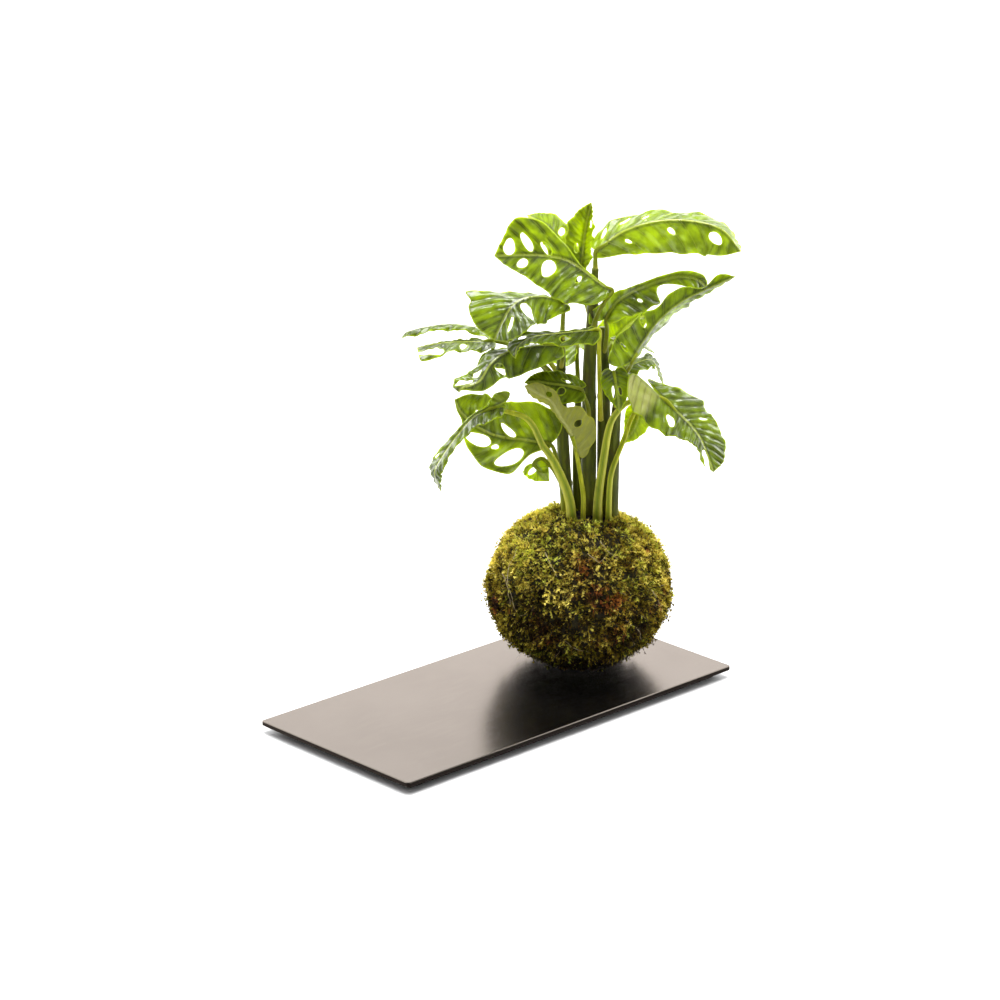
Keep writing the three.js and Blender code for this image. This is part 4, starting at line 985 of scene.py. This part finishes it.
for number, leaf in enumerate(leaves):
    leafPiece(leaf, 0.7 + 1.3 * number)
print("leaves made:", len(leaves))


# Stems

stems = {
    # points from the soil up, and the radius at the foot and at the top
    "main": ([(6, 2, 92), (6.5, 2, 150), (6, 1, 205), (8, 0, 250), (9.5, -1, 281)], (5, 2.2)),
    "second": ([(16.5, 6.5, 92), (16.5, 6.5, 150), (16, 6, 205), (15, 6, 238)], (4.8, 2.4)),
    "right": ([(22.5, -2, 92), (23, -2, 140), (24, -3, 175), (27, -4, 204)], (4, 2.4)),
    "centre": ([(-1, 10, 92), (-1.5, 10, 150), (-1, 10, 190)], (3.4, 2)),
    "left": ([(-7, 5, 92), (-11, 5, 150), (-13, 5, 195), (-12.5, 3, 233)], (4.4, 2)),
}
stemForm = {
    "taper": 3, "sides": 28, "steps": 110, "furrow": 0.06, "furrowWay": (0.6, -1, 0), "tone": 0.8,
    # a petiole that starts above the soil, within reach of the stem, gives it a knot
    "knot": 0.1, "knotLength": 1.5, "knotReach": 5, "soilTop": 100,
}


def stemPiece(name, points, radii):
    points = np.array(points, float)
    low, high = points[0, 2], points[-1, 2]
    knots = []
    for leaf in leaves:
        foot = np.array(leaf["petiole"][0], float)
        place = (foot[2] - low) / (high - low)
        near, _ = curveAt(points, np.array([place]))
        if foot[2] > stemForm["soilTop"] and np.linalg.norm(near[0, :2] - foot[:2]) < stemForm["knotReach"]:
            knots.append(place)

    def radius(t):
        size = radii[0] + (radii[1] - radii[0]) * t ** stemForm["taper"]
        for knot in knots:
            away = (t - knot) * (high - low) / stemForm["knotLength"]
            size = size * (1 + stemForm["knot"] * np.exp(-(away**2)))
        return size

    skin = Skin()
    tube(
        skin, points, radius, stemForm["sides"], stemForm["steps"], furrow=stemForm["furrow"],
        furrowWay=stemForm["furrowWay"], tone=stemForm["tone"],
    )
    return skin.piece(name + "_stem", [stemLook], ("tone", "along", "furrow"), ["stem_" + name], "stem")


for name, (points, radii) in stems.items():
    stemPiece(name, points, radii)
print("stems made:", len(stems))


# Moss ball

ball = {
    "radius": 60.3, "halfHeight": 55.3, "flat": 2.5, "middle": 54.5,
    "mouth": (7.5, -1), "mouthRadius": 17, "sink": 10,
}
fronds = {
    "clumps": 2700, "each": 15, "length": (2.3, 4.8),
    "scatter": 0.012,          # of the clumps, in radii of the ball
    "spread": 0.03,            # of the fronds in a clump, in radii of the ball
    "rise": 0.9,
    "depth": 0.6,              # of the roots in the mat
    "lowest": -0.9,            # in half heights of the ball
    "lean": (12, 30, 14, 82),  # degrees in the middle of a clump, more at its edge, its variation, the most
    "long": (0.03, 1.6),       # this share of the fronds is longer, by this factor
    "halfWidth": (0.12, 0.26),
    "leaflets": (0.3, 0.55, 0.8),
}
rng = np.random.default_rng(7)


def swells(d):
    # lumps of the mat, in millimetres, for directions from the ball's middle
    x, y, z = d[:, 0], d[:, 1], d[:, 2]
    broad = np.sin(5 * x + 1.3) * np.sin(6 * y + 0.4) * np.sin(5 * z + 2.1)
    small = np.sin(15 * x + 3 * y + 0.6) * np.sin(14 * y - 4 * z + 2.0) * np.sin(16 * z + 5 * x + 0.9)
    fine = np.sin(37 * x + 9 * z) * np.sin(41 * y + 7 * x) * np.sin(35 * z - 11 * y)
    return 1.3 * broad + 1.2 * small + 0.8 * fine


def ballPoints(d, rise=0.0):
    # points on the mat, and their distance from the middle of its mouth as seen from above
    out = swells(d) + rise
    point = d * np.column_stack([ball["radius"] + out, ball["radius"] + out, ball["halfHeight"] + out])
    plan = np.hypot(point[:, 0] - ball["mouth"][0], point[:, 1] - ball["mouth"][1])
    sink = ball["sink"] * (1 - eased(plan, ball["mouthRadius"] - 6, ball["mouthRadius"] + 2)) * (d[:, 2] > 0)
    point[:, 2] = np.maximum(point[:, 2] - sink, ball["flat"] - ball["middle"] + 0.1) + ball["middle"]
    return point, plan


def roundDirections():
    bpy.ops.mesh.primitive_ico_sphere_add(subdivisions=6, radius=1)
    scratch = bpy.context.object
    d = np.array([tuple(v.co) for v in scratch.data.vertices])
    faces = [list(p.vertices) for p in scratch.data.polygons]
    bpy.data.objects.remove(scratch)
    return unit(d), faces


def mossMat():
    d, faces = roundDirections()
    point, _ = ballPoints(d)
    skin = Skin()
    skin.add(point, faces)
    return skin.piece("moss_mat", [matLook], (), ["moss_cover"], "moss")


def patchValue(d, scale, turn):
    # slow change of colour over the ball, about 0 to 1
    x, y, z = d[:, 0], d[:, 1], d[:, 2]
    a = np.sin(scale * x + turn) * np.sin(scale * 1.2 * y + 1.7 * turn) + np.sin(scale * 1.1 * z - turn)
    b = np.sin(2.3 * scale * (x + z) + turn) * np.sin(2.1 * scale * (y - z) - turn)
    return 0.5 + 0.22 * a + 0.18 * b


mossSpots = [
    # longitude, latitude and reach in degrees, then the change of tone and of warmth
    # longitude -90 faces the camera
    (-89, 34, 8, -0.05, 0.75),
    (-66, 11, 3, 0.1, 0.9),
    (-52, 32, 6, -0.7, 0.2),
    (-80, 13, 9, -0.55, 0.2),
    (-158, -3, 6, -0.5, 0.4),
    (-40, 64, 8, -0.5, 0.1),
    (-171, 34, 24, 0.22, 0.1),
    (-28, 29, 20, 0.16, 0.05),
]


def frondColoursAndShade(d, rise, shaded, clump, each):
    # painted light and shade in the tone: lighter towards the top of the ball and on high clumps, darker in
    # hollows between the swells and on the shaded lower fringe; the patches and the spread are the moss's
    # own colour
    tone = 0.10 + 0.4 * patchValue(d, 4.2, 0.8) + 0.07 * swells(d) + 0.14 * rise + 0.12 * d[:, 2]
    tone += 0.36 * np.maximum(d[:, 2], 0) ** 2 - 0.5 * shaded
    tone += rng.normal(0, 0.16, each)[clump] + rng.normal(0, 0.24, len(d))
    warm = 0.5 * patchValue(d, 3.1, 4.4)
    warm += rng.normal(0, 0.16, each)[clump] + rng.normal(0, 0.08, len(d))
    for longitude, latitude, reach, toneChange, warmChange in mossSpots:
        away = np.degrees(np.arccos(np.clip(d @ onSphere(longitude, latitude), -1, 1)))
        near = np.exp(-((away / reach) ** 2))
        tone += toneChange * near
        warm += warmChange * near
    return np.clip(tone, 0, 1), np.clip(warm, 0, 1)


def mossFronds(part, parts):
    # every clump is a spot on a spiral round the ball, with fronds that lean out from it
    each = fronds["clumps"] // parts
    index = np.arange(part, fronds["clumps"], parts)[:each] + 0.5
    height = 1 - 2 * index / fronds["clumps"]
    turn = index * math.pi * (3 - math.sqrt(5))
    flat = np.sqrt(1 - height**2)
    centre = np.column_stack([flat * np.cos(turn), flat * np.sin(turn), height])
    centre = unit(centre + rng.normal(0, fronds["scatter"], centre.shape))
    clump = np.repeat(np.arange(each), fronds["each"])
    count = len(clump)
    up = centre[clump]
    tangent = unit(np.cross(up, rng.normal(0, 1, (count, 3))))
    offset = np.abs(rng.normal(0, fronds["spread"], count))
    d = unit(up + tangent * offset[:, None])
    rise = rng.normal(0, fronds["rise"], each)[clump]
    root, plan = ballPoints(d, rise - fronds["depth"])
    keep = (plan > ball["mouthRadius"] - 5) | (d[:, 2] < 0)
    keep &= d[:, 2] > fronds["lowest"]
    root, d, tangent, clump, offset, rise = (v[keep] for v in (root, d, tangent, clump, offset, rise))
    count = len(clump)
    upright, aside, variation, most = fronds["lean"]
    lean = upright + offset / fronds["spread"] * aside + rng.normal(0, variation, count)
    lean = np.radians(np.clip(lean, 0, most))
    way = d * np.cos(lean)[:, None] + tangent * np.sin(lean)[:, None]
    way = unit(way + rng.normal(0, 0.16, (count, 3)))
    shaded = eased(-d[:, 2], 0.5, 0.85)
    length = rng.uniform(*fronds["length"], count) * (0.75 + 0.5 * rng.random(each)[clump])
    length = np.where(rng.random(count) < fronds["long"][0], length * fronds["long"][1], length)
    length *= 1 - 0.45 * shaded
    droop = (tangent * 0.25 - np.array([0, 0, 0.18]) + rng.normal(0, 0.12, (count, 3))) * length[:, None]
    side = unit(np.cross(way, rng.normal(0, 1, (count, 3))))
    level = unit(np.cross(side, way))

    def axis(t):
        return root + way * (length * t)[:, None] + droop * t**2

    # a tapered blade in the middle, and leaflets to both sides of it
    size = 0.75 + 0.5 * rng.random(count)
    foot = side * fronds["halfWidth"][0]
    half = side * (fronds["halfWidth"][1] * size)[:, None]
    points = [axis(0) - foot, axis(0) + foot, axis(0.55) - half, axis(0.55) + half, axis(1.0)]
    faces = [(0, 1, 3), (0, 3, 2), (2, 3, 4)]
    tips = [0, 0, 0.6, 0.6, 1]
    for t in fronds["leaflets"]:
        for sign in (-1, 1):
            reach = (length * 0.32 * (1.25 - t * 0.5) * size)[:, None]
            aim = side * sign * 0.8 + way * 0.6 + level * rng.normal(0, 0.35, (count, 1))
            start = len(points)
            points += [axis(t - 0.09), axis(t + 0.09), axis(t) + aim * reach]
            faces.append((start, start + 1, start + 2))
            tips += [t, t, min(1, t + 0.35)]
    perFrond = len(points)
    spots = np.stack(points, axis=1).reshape(-1, 3)
    spots[:, 2] = np.maximum(spots[:, 2], 0.15)
    allFaces = (np.arange(count)[:, None, None] * perFrond + np.array(faces)[None]).reshape(-1, 3)
    tone, warm = frondColoursAndShade(d, rise, shaded, clump, each)
    # painted light and shade in the tip value: fronds on low clumps and on the lower fringe are darker
    # further up, high ones less
    lit = 0.22 * np.clip(rise, -2.5, 1) + rng.normal(0, 0.12, count) - 0.3 * shaded
    skin = Skin()
    skin.add(
        spots, allFaces.tolist(), flat=True, tone=np.repeat(tone, perFrond),
        warm=np.repeat(warm, perFrond), tip=np.tile(tips, count) + np.repeat(lit, perFrond),
    )
    return skin.piece(f"moss_fronds_{part + 1}", [mossLook], ("tone", "warm", "tip"), ["moss_cover"], "moss")


mossMat()
for part in range(3):
    mossFronds(part, 3)
print("moss made")


# Soil and loose strands

soil = {
    "radius": 56.4, "halfHeight": 51.4, "bottom": 5.6, "lump": 0.5,
    "crumbs": 700, "crumbReach": 16, "crumbSize": (0.5, 1.5),
}


def soilPiece():
    d, faces = roundDirections()
    point = d * np.array([soil["radius"], soil["radius"], soil["halfHeight"]])
    x, y, z = point.T
    lumps = np.sin(x * 1.1 + y) * np.sin(y * 1.3 - z) + 0.7 * np.sin(x * 2.3 + 1) * np.sin(y * 2.6 + z)
    point = point + d * (soil["lump"] * lumps)[:, None]
    point[:, 2] = np.maximum(point[:, 2], soil["bottom"] - ball["middle"]) + ball["middle"]
    skin = Skin()
    skin.add(point, faces)
    # crumbs that lie on top, round the stems
    reach = soil["crumbReach"] * np.sqrt(rng.random(soil["crumbs"]))
    turn = rng.random(soil["crumbs"]) * 2 * math.pi
    plan = np.column_stack([reach * np.cos(turn), reach * np.sin(turn)]) + ball["mouth"]
    top = ball["middle"] + soil["halfHeight"] * np.sqrt(1 - (plan**2).sum(1) / soil["radius"] ** 2)
    solid = np.array([(1, 0, 0), (-1, 0, 0), (0, 1, 0), (0, -1, 0), (0, 0, 1), (0, 0, -1)], float)
    sides = [(0, 2, 4), (2, 1, 4), (1, 3, 4), (3, 0, 4), (2, 0, 5), (1, 2, 5), (3, 1, 5), (0, 3, 5)]
    for k in range(soil["crumbs"]):
        size = rng.uniform(*soil["crumbSize"])
        shape = solid * size * rng.uniform(0.6, 1.2, (6, 1)) + rng.normal(0, 0.12, (6, 3))
        skin.add(shape + np.array([*plan[k], top[k] + size * 0.4]), sides, flat=True)
    return skin.piece("soil", [soilLook], (), ["soil_ball"], "soil")


strandPaths = [
    # (longitude, latitude) of points round the ball, in degrees
    [(-150, 38), (-147, 24), (-140, 10), (-133, -4)],
    [(-152, 20), (-144, 14), (-138, 2)],
    [(-120, 42), (-112, 34), (-106, 27)],
    [(-84, 44), (-76, 38), (-70, 40)],
    [(-70, 52), (-66, 44), (-60, 38)],
    [(-58, -8), (-50, -14), (-44, -24)],
    [(-100, -18), (-94, -24), (-84, -28)],
    [(-40, 12), (-34, 4), (-30, -6)],
    [(40, 20), (48, 12), (52, 2)],
    [(120, 30), (126, 20), (136, 14)],
]
strands = {"over": (2.2, 3.4), "hairs": 90, "hairLength": (4.0, 6.5), "hairBend": 1.2}


def strandPiece():
    skin = Skin()
    for path in strandPaths:
        angles = np.array(path, float)
        spots, _ = curveAt(onSphere(angles[:, 0], angles[:, 1]), np.linspace(0, 1, 9))
        spots, _ = ballPoints(unit(spots))
        outward = unit(spots - np.array([0, 0, ball["middle"]]))
        spots = spots + outward * rng.uniform(*strands["over"], (len(spots), 1))
        tube(skin, spots, lambda t: 0.24 - 0.1 * t, 6, 24)
    d = unit(rng.normal(0, 1, (strands["hairs"], 3)))
    d = d[(d[:, 2] > -0.7) & (d[:, 2] < 0.88)]
    root, _ = ballPoints(d)
    for foot, out in zip(root, d):
        bend = rng.normal(0, strands["hairBend"], 3)
        length = rng.uniform(*strands["hairLength"])
        spots = [foot, foot + out * length * 0.5 + bend * 0.4, foot + out * length + bend]
        tube(skin, spots, lambda t: 0.17 - 0.09 * t, 5, 6)
    return skin.piece("dry_strands", [strandLook], (), [], "moss")


soilPiece()
strandPiece()
print("soil and strands made")


# Tray

trayFinishes = {
    "tray_plate": trayFinish("tray_lacquer", {
        "dark": (0.046, 0.043, 0.040), "light": (0.058, 0.054, 0.050), "grain": (0.066, 0.061, 0.055),
        "side": (0.008, 0.006, 0.005), "wornAndEdgeSheen": (0.10, 0.085, 0.07), "edgeSheenShow": 0.5,
        "metal": 1.0, "tint": (1.0, 0.925, 0.87), "rough": 0.19,
    }),
    "tray_base": trayFinish("tray_base_black", {
        "dark": (0.006, 0.005, 0.004), "light": (0.010, 0.008, 0.006), "grain": (0.012, 0.010, 0.008),
        "side": (0.004, 0.003, 0.003), "wornAndEdgeSheen": (0.012, 0.010, 0.008), "edgeSheenShow": 0.2,
        "metal": 0.6, "tint": (1.0, 0.93, 0.86), "rough": 0.45,
    }),
}
for nodeName, material in trayFinishes.items():
    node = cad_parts[nodeName]
    node.data.materials.clear()
    node.data.materials.append(material)


# Floor, light and camera

studio = {
    "floorColour": (0.62, 0.62, 0.62),
    # the floor shines a little by itself, but not round the tray: half widths of the squares, and the shine
    "floorGlow": {0.6: 0.0, 1.2: 1.0, 6.0: 1.0},
    "world": 0.3,
    "aimHeight": 0.15,
    "lights": {
        # distance behind the plant, distance to its right, height, size and power
        "back_light": (2.1, 0.0, 0.85, (3.6, 1.9), 80.0),
        "top_light": (0.2, 0.0, 1.75, (1.6, 1.3), 86.0),
        "left_light": (0.7, -1.5, 0.8, (1.2, 1.4), 36.0),
        "right_light": (0.7, 1.5, 0.8, (1.2, 1.4), 36.0),
    },
}
camera = {
    "place": (-1.6325, -1.7240, 0.9579),  # from the middle of the tray, on the floor
    "elevation": 18.875, "turn": -43.434, "lens": 135.78,
}


def floorPiece():
    corners = [(-1, -1, 0), (1, -1, 0), (1, 1, 0), (-1, 1, 0)]
    points = [(half * x, half * y, z) for half in studio["floorGlow"] for x, y, z in corners]
    faces = [(0, 1, 2, 3)]
    for ring in range(len(studio["floorGlow"]) - 1):
        for k in range(4):
            a, b = 4 * ring + k, 4 * ring + (k + 1) % 4
            faces.append((a, a + 4, b + 4, b))
    mesh = bpy.data.meshes.new("floor")
    mesh.from_pydata(points, [], faces)
    pointValues(mesh, "shine", np.repeat(list(studio["floorGlow"].values()), 4))
    floor = placed("floor", mesh)
    f = Finish("studio_floor")
    mesh.materials.append(f.done(f.plain({
        "Base Color": studio["floorColour"],
        "Roughness": 0.9,
        "Emission Color": f.mix(f.attribute("shine"), (0, 0, 0), (1, 1, 1)),
        "Emission Strength": 0.9,
    })))


def areaLight(name, place, target, size, power):
    light = bpy.data.lights.new(name, "AREA")
    light.shape = "RECTANGLE"
    light.size, light.size_y = size
    light.energy = power
    lamp = placed(name, light)
    lamp.location = place
    lamp.rotation_euler = (target - Vector(place)).to_track_quat("-Z", "Y").to_euler()
    lamp.visible_camera = False


def studioLights():
    world = bpy.data.worlds.new("studio")
    bpy.context.scene.world = world
    world.use_nodes = True
    background = world.node_tree.nodes["Background"]
    background.inputs["Color"].default_value = (1, 1, 1, 1)
    background.inputs["Strength"].default_value = studio["world"]
    turn = math.radians(camera["turn"])
    ahead = Vector((-math.sin(turn), math.cos(turn), 0))
    aside = Vector((math.cos(turn), math.sin(turn), 0))
    target = Vector((plantFoot.x, plantFoot.y, studio["aimHeight"]))
    for name, (behind, right, height, size, power) in studio["lights"].items():
        place = Vector((plantFoot.x, plantFoot.y, height)) + ahead * behind + aside * right
        areaLight(name, place, target, size, power)


def photoCamera():
    lens = bpy.data.cameras.new("camera")
    lens.sensor_width = 36
    lens.lens = camera["lens"]
    lens.clip_end = 50
    eye = placed("camera", lens)
    eye.location = Vector((trayMiddle.x, trayMiddle.y, 0)) + Vector(camera["place"])
    eye.rotation_euler = (math.radians(90 - camera["elevation"]), 0, math.radians(camera["turn"]))
    bpy.context.scene.camera = eye


floorPiece()
studioLights()
photoCamera()
bpy.context.scene.view_settings.view_transform = "Standard"
print("stage made")
